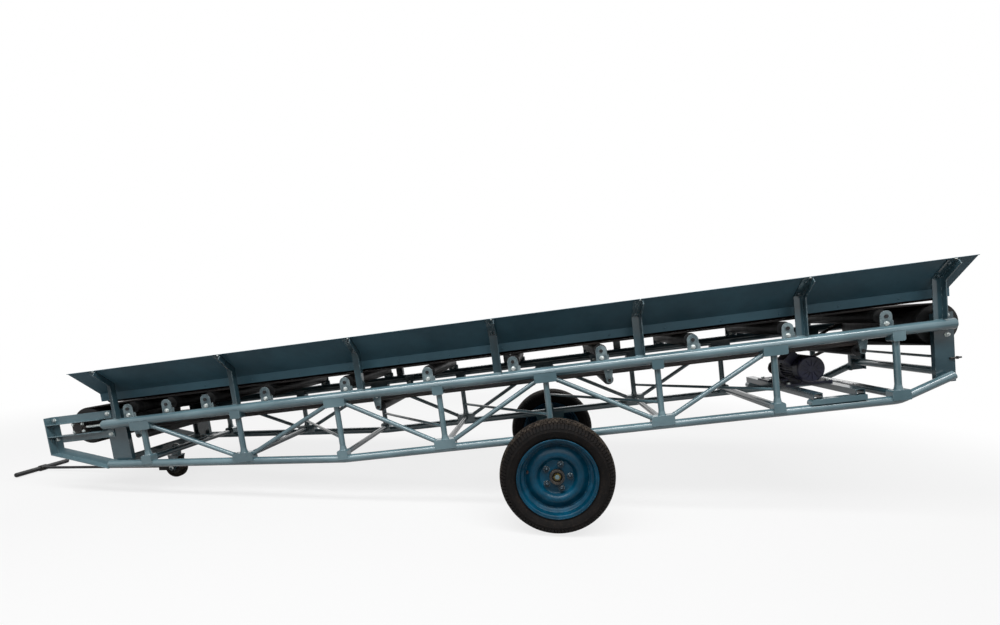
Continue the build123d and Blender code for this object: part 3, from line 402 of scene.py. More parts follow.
# Plates, posts and rails get a darker copy of the tubes' enamel, which is painted shade on their flat faces
shaded_plate_finish = painted_steel("plate_paint", srgb(38, 60, 68), srgb(54, 79, 88))
SHADED_NODES = ("skirt_posts", "head_plate", "tail_plate", "motor_rails", "cross_members")
bright_zinc_finish = bright_zinc()
wheel_nut_finish = worn_nut()
brass_nut_finish = brass_nut()
for subpart in frame["record"]["subparts"]:
    if subpart["node"].startswith("wheel_lock_nut"):
        dress(subpart["node"], brass_nut_finish)
    elif subpart["node"].startswith(SHADED_NODES):
        dress(subpart["node"], shaded_plate_finish)
    else:
        dress(subpart["node"], SLOT_FINISHES[subpart["material_slot"]])


# Meshes of the added pieces. A shape is a pair: its points, and its four-sided faces by number.

ROUND_STEPS = 24
MERGE_DISTANCE = 2e-6
# The angle from one free copy to the next, and a slant that none of their axes follows
TURN_ON = 2.4
LEAN = (0.36, 0.48, 0.8)


def even(steps):
    """Even steps round a full turn."""
    return np.arange(steps) * 2 * math.pi / steps


def sheet(points, closed=False):
    """Faces over a grid of points whose rows go round; closed joins the columns' ends as well."""
    rows, columns = points.shape[:2]
    index = np.arange(rows * columns).reshape(rows, columns)
    index = np.concatenate([index, index[:1]])
    if closed:
        index = np.concatenate([index, index[:, :1]], axis=1)
    corners = index[:-1, :-1], index[1:, :-1], index[1:, 1:], index[:-1, 1:]
    return points.reshape(-1, 3), np.stack(corners, axis=-1).reshape(-1, 4)


def together(shapes):
    """Several shapes as one, each one's faces counted on past the points before it."""
    starts = np.cumsum([0] + [len(points) for points, faces in shapes])
    every_point = np.concatenate([points for points, faces in shapes])
    every_face = np.concatenate([faces + start for (points, faces), start in zip(shapes, starts)])
    return every_point, every_face


def turned(radius, height, angles=even(ROUND_STEPS), closed=False):
    """A line turned about the third axis: (r cos t, r sin t, h), where r and h may vary with t."""
    radius, height, angles = np.broadcast_arrays(radius, height, np.asarray(angles)[:, None])
    points = np.stack([radius * np.cos(angles), radius * np.sin(angles), height], axis=-1)
    return sheet(points, closed)


def copies(shape, places, out, first=None):
    """A shape set at each place, its third axis along out and its first along first.

    Without first, each copy is turned on by 2.4 radians from the one before, so no two look alike.
    """
    points, faces = shape
    places = np.asarray(places, float).reshape(-1, 3)
    out = np.broadcast_to(np.asarray(out, float), places.shape)
    out = out / np.linalg.norm(out, axis=1, keepdims=True)
    if first is None:
        aside = np.cross(out, LEAN)
        turn = (TURN_ON * np.arange(len(places)))[:, None]
        first = np.cos(turn) * aside + np.sin(turn) * np.cross(out, aside)
    first = np.broadcast_to(np.asarray(first, float), places.shape)
    first = first / np.linalg.norm(first, axis=1, keepdims=True)
    axes = np.stack([first, np.cross(out, first), out], axis=1)
    placed = places[:, None] + points @ axes
    shifts = (np.arange(len(places)) * len(points))[:, None, None]
    return placed.reshape(-1, 3), (faces + shifts).reshape(-1, 4)


def both_sides(places):
    """Places on the machine's right side, and their mirror images on its left."""
    places = np.asarray(places, float).reshape(-1, 3)
    return np.concatenate([places, places * (1, -1, 1)])


def mirrored(shape):
    """A shape on the machine's right side, and its mirror image on its left."""
    points, faces = shape
    return together([shape, (points * (1, -1, 1), faces)])


def new_piece(name, body, finish, shapes, place=stand, crisp=35, replaced=()):
    """One mesh from these shapes, riding on a body; edges sharper than crisp degrees stay crisp."""
    points, faces = together(shapes)
    mesh = bpy.data.meshes.new(name)
    mesh.vertices.add(len(points))
    mesh.vertices.foreach_set("co", place(points).ravel())
    mesh.loops.add(faces.size)
    mesh.loops.foreach_set("vertex_index", faces.ravel())
    mesh.polygons.add(len(faces))
    mesh.polygons.foreach_set("loop_start", np.arange(0, faces.size, 4))
    mesh.update(calc_edges=True)
    cleaned = bmesh.new()
    cleaned.from_mesh(mesh)
    bmesh.ops.remove_doubles(cleaned, verts=cleaned.verts, dist=MERGE_DISTANCE)
    bmesh.ops.recalc_face_normals(cleaned, faces=cleaned.faces)
    cleaned.to_mesh(mesh)
    cleaned.free()
    mesh.polygons.foreach_set("use_smooth", np.ones(len(mesh.polygons), bool))
    mesh.set_sharp_from_angle(angle=math.radians(crisp))
    mesh.materials.append(finish)
    made = bpy.data.objects.new(name, mesh)
    bpy.context.scene.collection.objects.link(made)
    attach(made, body)
    if replaced:
        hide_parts(*replaced)


# Bolts, threads and weld beads. Proportions are shares of the thread's diameter.

WASHER_REACH, WASHER_PLATE = 1.08, 0.2
HEX_FLATS, HEAD_HEIGHT, NUT_HEIGHT = 1.55, 0.65, 0.8
# Radius of the flat on top of a hexagon, as a share of its width across flats
CROWN_REACH = 0.46
CORNER_CUT = math.radians(30)
PITCHES_ACROSS = 5
PITCH_STEPS = 4
# How deep a thread's root and its blunt end lie, as shares of its pitch
ROOT_DEPTH, END_DEPTH = 0.3, 0.7
THREAD_SINK = 0.0005
DOME_STEPS = 6
WELD_RIPPLE = 0.0032
RIPPLE_STEPS = 4
BEAD_STEPS = 8
FEWEST_LINE_STEPS = 12


def hexagon(flats):
    """A hexagon's reach at each step of a turn: half its flats over the cosine off its side."""
    off_side = (even(ROUND_STEPS) + math.pi / 6) % (math.pi / 3) - math.pi / 6
    return (flats / 2 / np.cos(off_side))[:, None]


def hex_head(flats, height, base=0.0):
    """Hexagonal head or nut: straight sides, with its corners cut back by a shallow cone on top."""
    side = hexagon(flats)
    crown = np.full_like(side, CROWN_REACH * flats)
    nothing = np.zeros_like(side)
    radius = np.concatenate([nothing, side, side, crown, nothing], axis=1)
    cut = (side - crown) * math.tan(CORNER_CUT)
    level = np.full_like(side, base)
    top = level + height
    return turned(radius, np.concatenate([level, level, top - cut, top, top], axis=1))


def washer(radius, thickness):
    """Round washer with a softened rim."""
    soft = thickness / 4
    return turned([0, radius, radius, radius - soft, 0],
                  [0, 0, thickness - soft, thickness, thickness])


def thread(od, length, pitch, base=0.0):
    """Threaded rod: its radius rises and falls once a pitch, its crest climbs a pitch a turn."""
    heights = np.arange(0, length, pitch / PITCH_STEPS)
    climb = even(ROUND_STEPS)[:, None] / (2 * math.pi)
    wave = np.abs((heights[None, :] / pitch - climb) % 1 - 0.5) * 2
    radius = od / 2 - ROOT_DEPTH * pitch * wave
    ends = np.zeros((ROUND_STEPS, 1))
    blunt = np.full((ROUND_STEPS, 1), od / 2 - END_DEPTH * pitch)
    radius = np.concatenate([ends, radius, blunt, ends], axis=1)
    return turned(radius, base + np.concatenate([[0], heights, [length, length]]))


def bolt(size, stud=0.0):
    """Washer and hexagonal head for this thread; with a stud, a nut and the thread's end."""
    plate = WASHER_PLATE * size
    parts = [washer(WASHER_REACH * size, plate)]
    if stud:
        nut = NUT_HEIGHT * size
        parts.append(hex_head(HEX_FLATS * size, nut, plate))
        parts.append(thread(size, stud, size / PITCHES_ACROSS, plate + nut - THREAD_SINK))
    else:
        parts.append(hex_head(HEX_FLATS * size, HEAD_HEIGHT * size, plate))
    return together(parts)


def dome_head(radius, height):
    """Round carriage-bolt head: radius grows as a sine and height falls as a cosine to its rim."""
    angle = np.linspace(1, 0, DOME_STEPS) * math.pi / 2
    return turned(np.concatenate([[0], radius * np.sin(angle)]),
                  np.concatenate([[0], height * np.cos(angle)]))


def rippled(bead, phase):
    """Thickness of a weld bead along its ripples: bead (0.8 + 0.2 |sin phase|)."""
    return bead * (0.8 + 0.2 * np.abs(np.sin(phase)))


def weld_ring(radius, bead, ripples=22):
    """Weld run round a tube: a ring of round section whose thickness swells with each ripple."""
    angles = even(ripples * RIPPLE_STEPS)
    swell = rippled(bead, ripples * angles / 2)[:, None]
    section = even(BEAD_STEPS)[None, :]
    return turned(radius + swell * np.cos(section), swell * np.sin(section), angles, closed=True)


def weld_line(start, end, bead):
    """Straight weld run: a rod whose thickness swells with each ripple and closes at both ends."""
    start, end = np.asarray(start, float), np.asarray(end, float)
    length = np.linalg.norm(end - start)
    steps = max(FEWEST_LINE_STEPS, int(2 * length / WELD_RIPPLE))
    along = np.linspace(0, 1, steps) * length
    swell = rippled(bead, math.pi * along / WELD_RIPPLE)
    swell[[0, -1]] = 0
    return copies(turned(swell, along, even(BEAD_STEPS)), start, end - start)


# Road wheels. Their shapes have the wheel's axle as third axis, with zero on its middle plane.

WHEEL_SIDES = (("right", -1), ("left", 1))
WHEEL_OUT = (0, 0, 1)
TYRE_CROWN = 0.316
TYRE_WIDEST = 0.262
TYRE_HALF = 0.095
TYRE_FULLNESS = 2.2
SECTION_STEPS = 240
# Pull points of the curve from the tyre's widest place down to its bead, as out and radius
WALL_PULLS = ((TYRE_HALF, TYRE_WIDEST), (0.094, 0.240), (0.070, 0.216), (0.0675, 0.2036))
TREAD_PITCHES = 96
TREAD_DEPTH = 0.008
CUT_DEPTH = 0.0065
TREAD_SWAY = 0.0014
WALL_SINK = 0.003
WALL_FROM, WALL_STEP = 0.1055, 0.003
GROOVE, WALL = -1, -2
# Lines of the tread from the crown outwards: distance, and the block row that it belongs to
TREAD_LINES = (
    (0, 0), (0.010, 0), (0.0107, GROOVE), (0.0133, GROOVE),
    (0.014, 1), (0.025, 1), (0.036, 1), (0.0367, GROOVE), (0.0393, GROOVE),
    (0.040, 2), (0.052, 2), (0.064, 2), (0.0647, GROOVE), (0.0673, GROOVE),
    (0.068, 3), (0.080, 3), (0.092, 3), (0.104, 3),
)
# Places of the block walls in one pitch; even rows are cut at its ends, odd rows in its middle
TREAD_STEPS = (0.10, 0.135, 0.365, 0.40, 0.60, 0.635, 0.865, 0.90)
END_CUT, MIDDLE_CUT = (0, 7), (3, 4)
# Raised rings on the side wall: distance from the crown and height
WALL_RINGS = ((0.121, 0.0016), (0.150, 0.0010), (0.157, 0.0010), (0.172, 0.0012))
RING_SPREAD = 0.0026
TYRE_LINING = ((0.055, 0.2034), (0.0836, 0.263), (0.0665, 0.2925), (0, 0.300),
               (-0.0665, 0.2925), (-0.0836, 0.263), (-0.055, 0.2034))


def on_wheel(way):
    """A turn of a wheel's points into the row frame; way is -1 on the right and 1 on the left."""
    def place(points):
        first, second, out = np.asarray(points, float).T
        return np.stack([AXLE[0] + first, way * (TRACK_HALF + out), AXLE[2] + second], axis=1)
    return place


def tyre_section():
    """Outer line of the tyre from crown to bead, as out and radius against the distance along it.

    Above the widest place it is a superellipse, |out/half|^n + |rise/height|^n = 1; below it, a
    cubic Bezier curve down to the bead.
    """
    angle = np.linspace(0, math.pi / 2, SECTION_STEPS)
    power = 2 / TYRE_FULLNESS
    rise = (TYRE_CROWN - TYRE_WIDEST) * np.cos(angle) ** power
    upper = np.stack([TYRE_HALF * np.sin(angle) ** power, TYRE_WIDEST + rise], axis=1)
    share = np.linspace(0, 1, SECTION_STEPS)[1:, None]
    rest = 1 - share
    weights = rest ** 3, 3 * rest ** 2 * share, 3 * rest * share ** 2, share ** 3
    lower = sum(weight * np.array(pull) for weight, pull in zip(weights, WALL_PULLS))
    line = np.concatenate([upper, lower])
    steps = np.linalg.norm(np.diff(line, axis=0), axis=1)
    return np.concatenate([[0], np.cumsum(steps)]), line


def treaded_tyre():
    """Tyre with its blocks: the section, sunk along its normal in the grooves, cuts and walls."""
    along, line = tyre_section()
    slope = np.gradient(line, along, axis=0)
    wall_lines = [(distance, WALL) for distance in np.arange(WALL_FROM, along[-1], WALL_STEP)]
    half = np.array(TREAD_LINES + tuple(wall_lines) + ((along[-1], WALL),))
    across = np.concatenate([-half[::-1, 0], half[1:, 0]])
    row = np.concatenate([half[::-1, 1], half[1:, 1]])
    pitch = 2 * math.pi / TREAD_PITCHES
    angles = ((np.arange(TREAD_PITCHES)[:, None] + TREAD_STEPS) * pitch).ravel()
    column = np.arange(len(angles)) % len(TREAD_STEPS)
    cut_here = np.where(row % 2 == 0, np.isin(column, END_CUT)[:, None],
                        np.isin(column, MIDDLE_CUT)[:, None])
    rings = sum(height * np.exp(-((np.abs(across) - centre) / RING_SPREAD) ** 2)
                for centre, height in WALL_RINGS)
    sink = np.where(cut_here & (row >= 0), CUT_DEPTH, 0) + np.where(row == GROOVE, TREAD_DEPTH, 0)
    sink = sink + np.where(row == WALL, WALL_SINK - rings, 0)
    sway = TREAD_SWAY * np.sin(TREAD_PITCHES * angles)[:, None] * (row != WALL)
    swayed = across + sway
    distance = np.abs(swayed)
    out, radius = (np.interp(distance, along, line[:, axis]) for axis in (0, 1))
    slope_out, slope_radius = (np.interp(distance, along, slope[:, axis]) for axis in (0, 1))
    out = np.where(swayed < 0, -1, 1) * (out + sink * slope_radius)
    radius = radius - sink * slope_out
    lining = np.broadcast_to(np.array(TYRE_LINING), (len(angles), len(TYRE_LINING), 2))
    out = np.concatenate([out, lining[:, :, 0]], axis=1)
    radius = np.concatenate([radius, lining[:, :, 1]], axis=1)
    return turned(radius, out, angles, closed=True)


def smoothed(line):
    """Corner cutting: each pass puts points a quarter and three quarters along every stretch."""
    line = np.asarray(line, float)
    for _ in range(CORNER_PASSES):
        near = 0.75 * line[:-1] + 0.25 * line[1:]
        far = 0.25 * line[:-1] + 0.75 * line[1:]
        pairs = np.stack([near, far], axis=1).reshape(-1, 2)
        line = np.concatenate([line[:1], pairs, line[-1:]])
    return line


def pressed_ring(line, thickness):
    """Sheet of this thickness turned about the axle: the line, and back along its left side."""
    line = smoothed(line)
    way = np.gradient(line, axis=0)
    left = np.stack([-way[:, 1], way[:, 0]], axis=1) / np.linalg.norm(way, axis=1, keepdims=True)
    outline = np.concatenate([line, (line + thickness * left)[::-1]])
    return turned(outline[:, 1], outline[:, 0], even(RIM_STEPS), closed=True)


# Lines of the pressed sheets, as out and radius: half the rim, from its outer flange to its well
RIM_HALF_LINE = (
    (0.0840, 0.2140), (0.0845, 0.2185), (0.0805, 0.2210), (0.0755, 0.2180), (0.0738, 0.2085),
    (0.0715, 0.2040), (0.0640, 0.2028), (0.0600, 0.2008), (0.0560, 0.2024), (0.0500, 0.2022),
    (0.0465, 0.2000), (0.0420, 0.2016), (0.0340, 0.1995), (0.0265, 0.1840), (0.0210, 0.1797),
)
DISC_LINE = (
    (0.0190, 0.1757), (0.0225, 0.1735), (0.0270, 0.1665), (0.0365, 0.1530), (0.0435, 0.1400),
    (0.0460, 0.1290), (0.0450, 0.1180), (0.0390, 0.1080), (0.0270, 0.1000), (0.0185, 0.0945),
    (0.0160, 0.0880), (0.0150, 0.0780), (0.0150, 0.0416),
)
CORNER_PASSES = 3
RIM_STEPS = 132
RIM_SHEET = 0.004
DISC_SHEET = 0.005
DISC_WELD_R, DISC_WELD_OUT, DISC_WELD_BEAD, DISC_WELD_RIPPLES = 0.1752, 0.0225, 0.0028, 150
STUDS = 5
STUD_CIRCLE = 0.070
STUD_FACE = 0.015
FIRST_STUD = math.radians(76)
VALVE_ANGLE = math.radians(172)
VALVE_R, VALVE_OUT = 0.163, 0.028
# A wheel nut's hexagon, as width across flats, height and base, and its domed end
NUT_HEX = (0.028, 0.016, 0.0028)
NUT_DOME = (0.0125, 0.0245)
# Turned outlines, as radius and height
NUT_SEAT = ((0, 0), (0.0135, 0), (0.0180, 0.0015), (0.0180, 0.003), (0, 0.003))
VALVE_STEM = ((0, 0), (0.0075, 0), (0.0075, 0.004), (0.0045, 0.010), (0.0045, 0.022),
              (0.0052, 0.023), (0.0052, 0.031), (0, 0.032))


def round_place(radius, angle, out):
    """Places at this radius and angle round the axle, this far out from the wheel's middle."""
    return np.stack(np.broadcast_arrays(radius * np.cos(angle), radius * np.sin(angle), out), -1)


def road_wheels():
    """Both road wheels' tyres, rims, nuts and valve stems."""
    tyre = treaded_tyre()
    rim_line = RIM_HALF_LINE + tuple((-out, radius) for out, radius in RIM_HALF_LINE[::-1])
    disc_weld = weld_ring(DISC_WELD_R, DISC_WELD_BEAD, DISC_WELD_RIPPLES)
    rim = [pressed_ring(rim_line, RIM_SHEET), pressed_ring(DISC_LINE, -DISC_SHEET),
           copies(disc_weld, (0, 0, DISC_WELD_OUT), WHEEL_OUT)]
    nut = together([turned(*np.transpose(NUT_SEAT)), hex_head(*NUT_HEX), dome_head(*NUT_DOME)])
    studs = round_place(STUD_CIRCLE, FIRST_STUD + even(STUDS), STUD_FACE)
    nuts = copies(nut, studs, WHEEL_OUT)
    valve = copies(turned(*np.transpose(VALVE_STEM)),
                   round_place(VALVE_R, VALVE_ANGLE, VALVE_OUT), WHEEL_OUT)
    for side, way in WHEEL_SIDES:
        body = "wheel_" + side
        place = on_wheel(way)
        new_piece("road_tyre_" + side, body, SLOT_FINISHES["tyre_rubber"], [tyre],
                  place, crisp=28, replaced=["wheel_tyre_" + side])
        new_piece("road_rim_" + side, body, SLOT_FINISHES["rim_paint"], rim,
                  place, crisp=40, replaced=["wheel_rim_" + side])
        new_piece("wheel_nuts_" + side, body, wheel_nut_finish, [nuts], place)
        new_piece("valve_stem_" + side, body, SLOT_FINISHES["seal_rubber"], [valve],
                  place)


road_wheels()


# Bolts and nuts on the frame. A face is the y at which a bolt seats; spots are pairs of u and w.

ROLLER_U = np.concatenate([-2.624 + 0.2625 * np.arange(3), -1.708 + 0.5103 * np.arange(8)])
RETURN_U = (-2.617, -1.026, 0.367, 1.760)
POST_U = (-2.710, -1.9017, -1.1031, -0.2706, 0.5473, 1.4234, 2.130)
SEAL_U = np.arange(-2.78, 2.2, 0.318)
FRAME_BOLT = 0.012
HANGER_BOLT = 0.0105
SHEET_BOLT = 0.009
LIP_BOLT = 0.007
STUD_END = 0.006
BRACKET_STUD_END = 0.007
# Carriage-bolt heads, as radius and height
LIP_DOME, ARM_DOME, SEAL_DOME = (0.005, 0.002), (0.009, 0.004), (0.0075, 0.0035)

ROLLER_BRACKET_W = 0.0433
ROLLER_BRACKET_FACES = (-0.412, -0.401)
HANGER_W = -0.026
HANGER_FACES = (-0.3782, -0.3722)
HEAD_FACE, TAIL_FACE, BEARING_FACE, AXLE_BRACKET_FACE = -0.379, -0.384, -0.349, -0.441
HEAD_SPOTS = ((2.190, 0.047), (2.190, -0.058))
TAIL_SPOTS = ((-2.794, 0.066), (-2.794, -0.066), (-3.170, 0.062), (-3.170, -0.062))
BEARING_SPOTS = ((2.1605, 0.066), (2.1605, -0.066))
AXLE_BRACKET_SPOTS = ((-0.070, -0.430), (0.070, -0.430), (-0.046, -0.596), (0.046, -0.596))
MOTOR_RAIL_U = (1.476, 1.697)
MOTOR_FOOT_Y = (-0.120, -0.010, 0.115, 0.225)
MOTOR_FOOT_W = -0.281

# A post's bent arm: the way up along it, the way out from its under side, and its knee
FLARE_WAY = np.array([0, -0.7818, 0.6235])
FLARE_OUT = np.array([0, -0.6235, -0.7818])
POST_KNEE = np.array([0, -0.404, 0.2534])
POST_MIDDLE = -0.004
POST_FACE = 0.005
SKIRT_FACE = -0.0033
ARM_HOLES = (0.022, 0.117)
LIP_STEP, LIP_Y, LIP_UNDER, LIP_TOP = 0.010, -0.5185, 0.3418, 0.345
SEAL_Y, SEAL_W = -0.330, 0.164

TAKEUP_U, TAKEUP_Y, TAKEUP_FACE = -2.985, -0.394, -0.409
TAKEUP_CAP_U, TAKEUP_CAP_W = 0.032, 0.024
SCREW_OD, SCREW_LENGTH, SCREW_PITCH, SCREW_FROM = 0.0172, 0.118, 0.0025, -2.941
SCREW_FLATS, SCREW_NUTS = 0.026, ((-2.8185, 0.012), (-2.8325, 0.010))
SCRAPER_Y, SCRAPER_W = -0.3836, -0.190
SCRAPER_OD, SCRAPER_LENGTH, SCRAPER_PITCH, SCRAPER_FROM = 0.010, 0.058, 0.0015, 2.196
SCRAPER_NUT_U, SCRAPER_FLATS, SCRAPER_NUT = 2.230, 0.016, 0.008


def bolted(shape, spots, face, way=1):
    """Copies of a bolt on both sides of the machine; way is 1 for outwards and -1 for inwards."""
    places = both_sides([(u, face, w) for u, w in spots])
    return copies(shape, places, np.sign(places[:, 1:2]) * (0, way, 0))


def bracket_bolts():
    """Through the carrying rollers' upright brackets and the return rollers' hanging ones."""
    brackets = [(u, ROLLER_BRACKET_W) for u in ROLLER_U]
    hangers = [(u, HANGER_W) for u in RETURN_U]
    return [
        bolted(bolt(FRAME_BOLT), brackets, ROLLER_BRACKET_FACES[0]),
        bolted(bolt(FRAME_BOLT, BRACKET_STUD_END), brackets, ROLLER_BRACKET_FACES[1], -1),
        bolted(bolt(HANGER_BOLT), hangers, HANGER_FACES[0]),
        bolted(bolt(HANGER_BOLT, STUD_END), hangers, HANGER_FACES[1], -1),
    ]


def lip_bolts():
    """Through the skirts' turned lips, over each post: heads below and domes on top."""
    below, above = (both_sides([(u + LIP_STEP, LIP_Y, w) for u in POST_U])
                    for w in (LIP_UNDER, LIP_TOP))
    return [copies(bolt(LIP_BOLT), below, (0, 0, -1)),
            copies(dome_head(*LIP_DOME), above, (0, 0, 1))]


def end_bolts():
    """Through the head plates, the tail frame's rails and the head drum's bearings."""
    return [
        bolted(bolt(FRAME_BOLT, STUD_END), HEAD_SPOTS, HEAD_FACE),
        bolted(bolt(FRAME_BOLT), TAIL_SPOTS, TAIL_FACE),
        bolted(bolt(FRAME_BOLT, STUD_END), BEARING_SPOTS, BEARING_FACE, -1),
    ]


def drive_bolts():
    """Through the feet of the motor and the reducer into their rails."""
    feet = [(u, y, MOTOR_FOOT_W) for u in MOTOR_RAIL_U for y in MOTOR_FOOT_Y]
    return [copies(bolt(FRAME_BOLT), feet, (0, 0, 1))]


def takeup_screws():
    """The tail drum's tensioning screws with their nuts, and the bolts of their bearing caps."""
    screw = thread(SCREW_OD, SCREW_LENGTH, SCREW_PITCH)
    caps = [(TAKEUP_U + u, w) for u in (-TAKEUP_CAP_U, TAKEUP_CAP_U)
            for w in (-TAKEUP_CAP_W, TAKEUP_CAP_W)]
    nuts = [mirrored(copies(hex_head(SCREW_FLATS, height), (u, TAKEUP_Y, 0), (-1, 0, 0)))
            for u, height in SCREW_NUTS]
    return [mirrored(copies(screw, (SCREW_FROM, TAKEUP_Y, 0), (1, 0, 0))), *nuts,
            bolted(bolt(SHEET_BOLT), caps, TAKEUP_FACE)]


def scraper_studs():
    """The scraper's setting screws on the head plates' outer faces, each with its nut."""
    screw = thread(SCRAPER_OD, SCRAPER_LENGTH, SCRAPER_PITCH)
    nut = hex_head(SCRAPER_FLATS, SCRAPER_NUT)
    return [mirrored(copies(shape, (u, SCRAPER_Y, SCRAPER_W), (1, 0, 0)))
            for shape, u in ((screw, SCRAPER_FROM), (nut, SCRAPER_NUT_U))]


def axle_bolts():
    """Through the axle's bracket plates."""
    return [bolted(bolt(FRAME_BOLT), AXLE_BRACKET_SPOTS, AXLE_BRACKET_FACE)]


def post_bolts():
    """Through the posts' bent arms into the skirts: heads under the arms and domes on the sheet."""
    arms = [POST_KNEE + (u + POST_MIDDLE, 0, 0) + distance * FLARE_WAY
            for u in POST_U for distance in ARM_HOLES]
    return [mirrored(copies(bolt(SHEET_BOLT), arms + POST_FACE * FLARE_OUT, FLARE_OUT)),
            mirrored(copies(dome_head(*ARM_DOME), arms + SKIRT_FACE * FLARE_OUT, -FLARE_OUT))]


def seal_bolts():
    """Rows of domes that hold the rubber seals to the skirts."""
    return [bolted(dome_head(*SEAL_DOME), [(u, SEAL_W) for u in SEAL_U], SEAL_Y)]


for name, shapes, slot, finish in (
    ("bracket_bolts", bracket_bolts(), "galvanised", bright_zinc_finish),
    ("lip_bolts", lip_bolts(), "galvanised", bright_zinc_finish),
    ("end_bolts", end_bolts(), "galvanised", bright_zinc_finish),
    ("drive_bolts", drive_bolts(), "galvanised", bright_zinc_finish),
    ("takeup_screws", takeup_screws(), "galvanised", bright_zinc_finish),
    ("scraper_studs", scraper_studs(), "dark_steel", SLOT_FINISHES["dark_steel"]),
    ("axle_bolts", axle_bolts(), "galvanised", bright_zinc_finish),
    # The post bolts take the posts' darker copy of the enamel, which is painted shade
    ("post_bolts", post_bolts(), "painted_steel", shaded_plate_finish),
    ("seal_bolts", seal_bolts(), "skirt_paint", SLOT_FINISHES["skirt_paint"]),
):
    new_piece(name, "frame", finish, shapes)


# Weld runs at the truss's joints, all laid out on its right side

CLIP_EDGE = 0.057
WELD_PROUD = 0.0003
CLIP_FACE = TRUSS_HALF + CHORD_R + WELD_PROUD
CLIP_EDGE_W = 0.0006
CLIP_HALF_WIDTHS = (0.065, 0.0325)
CLIP_BEAD = 0.0022
# Weld rings of the verticals' heads and feet, as radius and bead
VERTICAL_HEAD, VERTICAL_FOOT = (0.0175, 0.0026), (0.0222, 0.0028)
CROSS_FACE, CROSS_RISE, CROSS_BEAD = -0.382, 0.0285, 0.0026
CROSS_RADII = (0.0172,) * 6 + (0.0232,) * 2
# Where the lower chord bends, and how far it has risen there
CHORD_BENDS_U = (-2.815, -1.272, 1.908, 2.190)
CHORD_RISES = (0.127, 0, 0, 0.104)
DIAGONALS = 6
DIAGONAL_R, DIAGONAL_BEAD = 0.0139, 0.0025
DIAGONAL_SHIFT = 0.0145
DIAGONAL_REACH = 0.065
POST_WELD = ((-0.025, -0.4095, 0.0305), (0.020, -0.4095, 0.0305))
POST_BEAD = 0.0028


def lower_w(u):
    """Height of the lower chord's centre line, which rises towards both ends."""
    return -TRUSS_DEPTH + np.interp(u, CHORD_BENDS_U, CHORD_RISES)


def panel_welds():
    """Rings round the verticals' ends and the cross-members' ends at each panel point."""
    lower = lower_w(PANEL_U)
    heads = [(u, -TRUSS_HALF, -CLIP_EDGE) for u in PANEL_U]
    feet = [(u, -TRUSS_HALF, w + CLIP_EDGE) for u, w in zip(PANEL_U, lower)]
    crosses = [copies(weld_ring(radius, CROSS_BEAD), (u, CROSS_FACE, w + CROSS_RISE), (0, 1, 0))
               for u, w, radius in zip(PANEL_U, lower, CROSS_RADII)]
    return [copies(weld_ring(*VERTICAL_HEAD), heads, (0, 0, 1)),
            copies(weld_ring(*VERTICAL_FOOT), feet, (0, 0, 1)), *crosses]


def diagonal_welds():
    """Rings round both ends of each diagonal, drawn out where its slant cuts the clips' ends."""
    points, faces = weld_ring(DIAGONAL_R, DIAGONAL_BEAD)
    rings = []
    for index in range(DIAGONALS):
        upper_u = PANEL_U[index + index % 2]
        lower_u = PANEL_U[index + 1 - index % 2]
        foot = np.array([lower_u, -TRUSS_HALF, lower_w(lower_u) + DIAGONAL_SHIFT])
        head = np.array([upper_u, -TRUSS_HALF, -DIAGONAL_SHIFT])
        way = (head - foot) / abs(upper_u - lower_u)
        ends = [foot + DIAGONAL_REACH * way, head - DIAGONAL_REACH * way]
        ring = points * (math.hypot(way[2], 1), 1, 1), faces
        rings.append(copies(ring, ends, (1, 0, 0), first=(0, 0, 1)))
    return rings


def edge_welds():
    """Straight runs at the posts' feet and along the upper edges of the top chord's clips."""
    posts = [weld_line(*(np.array(end) + (u, 0, 0) for end in POST_WELD), POST_BEAD)
             for u in POST_U]
    clips = []
    for index, u in enumerate(PANEL_U):
        half = CLIP_HALF_WIDTHS[index % 2]
        clips.append(weld_line((u - half, -CLIP_FACE, CLIP_EDGE_W),
                               (u + half, -CLIP_FACE, CLIP_EDGE_W), CLIP_BEAD))
    return posts + clips


truss_welds = panel_welds() + diagonal_welds() + edge_welds()
new_piece("weld_runs", "frame", SLOT_FINISHES["painted_steel"],
          [mirrored(together(truss_welds))])


# Nuts of the castor's axle and kingpin

CASTOR = JOINTS["castor_spin"]["pos_m"]
FORK_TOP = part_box("castor_fork")[1][2]
FORK_FACE = 0.0506
AXLE_WASHER = (0.017, 0.0015)
AXLE_NUT = (0.029, 0.0052, 0.0014)
KINGPIN_NUT = (0.030, 0.009)
fork_sides = np.array([(0, -1, 0), (0, 1, 0)])
axle_nut = together([washer(*AXLE_WASHER), hex_head(*AXLE_NUT)])
castor_nuts = [
    copies(axle_nut, CASTOR + FORK_FACE * fork_sides, fork_sides),
    copies(hex_head(*KINGPIN_NUT), (CASTOR[0], 0, FORK_TOP), (0, 0, 1)),
]
new_piece("castor_nuts", "fork", bright_zinc_finish, castor_nuts, np.asarray)


# Studio: a pale floor that fades into the white background, soft lamps, the photograph's camera

FLOOR_HALF = 60
FLOOR_GREY = (0.66, 0.66, 0.66, 1)
BOUNCED_GREY = (0.18, 0.18, 0.18, 1)
WHITE = (1, 1, 1, 1)
WHITE_NEAR = 0.78
FADE_FROM, FADE_TO = 3.4, 6.5
WORLD_LEVEL = 0.1
# Lamps: name, place, target, length, width and watts
LAMPS = (
    ("front_lamp", (0.2, -4.6, 3.6), (0.2, 0, 0.7), 8.0, 1.6, 110),
    ("key_lamp", (0.2, -2.7, 5.0), (0.2, -0.2, 0.7), 9.0, 1.0, 390),
    ("rear_lamp", (0.2, 4.2, 3.8), (0.2, 0, 0.7), 8.0, 1.6, 150),
)
SENSOR_WIDTH, FOCAL_LENGTH, LENS_RISE = 36, 17.28, 0.06
CAMERA_PLACE = (0.68781932, -3.19230658, 1.13566066)
CAMERA_TURN = (84.25226455, -0.89655139, 4.73639114)


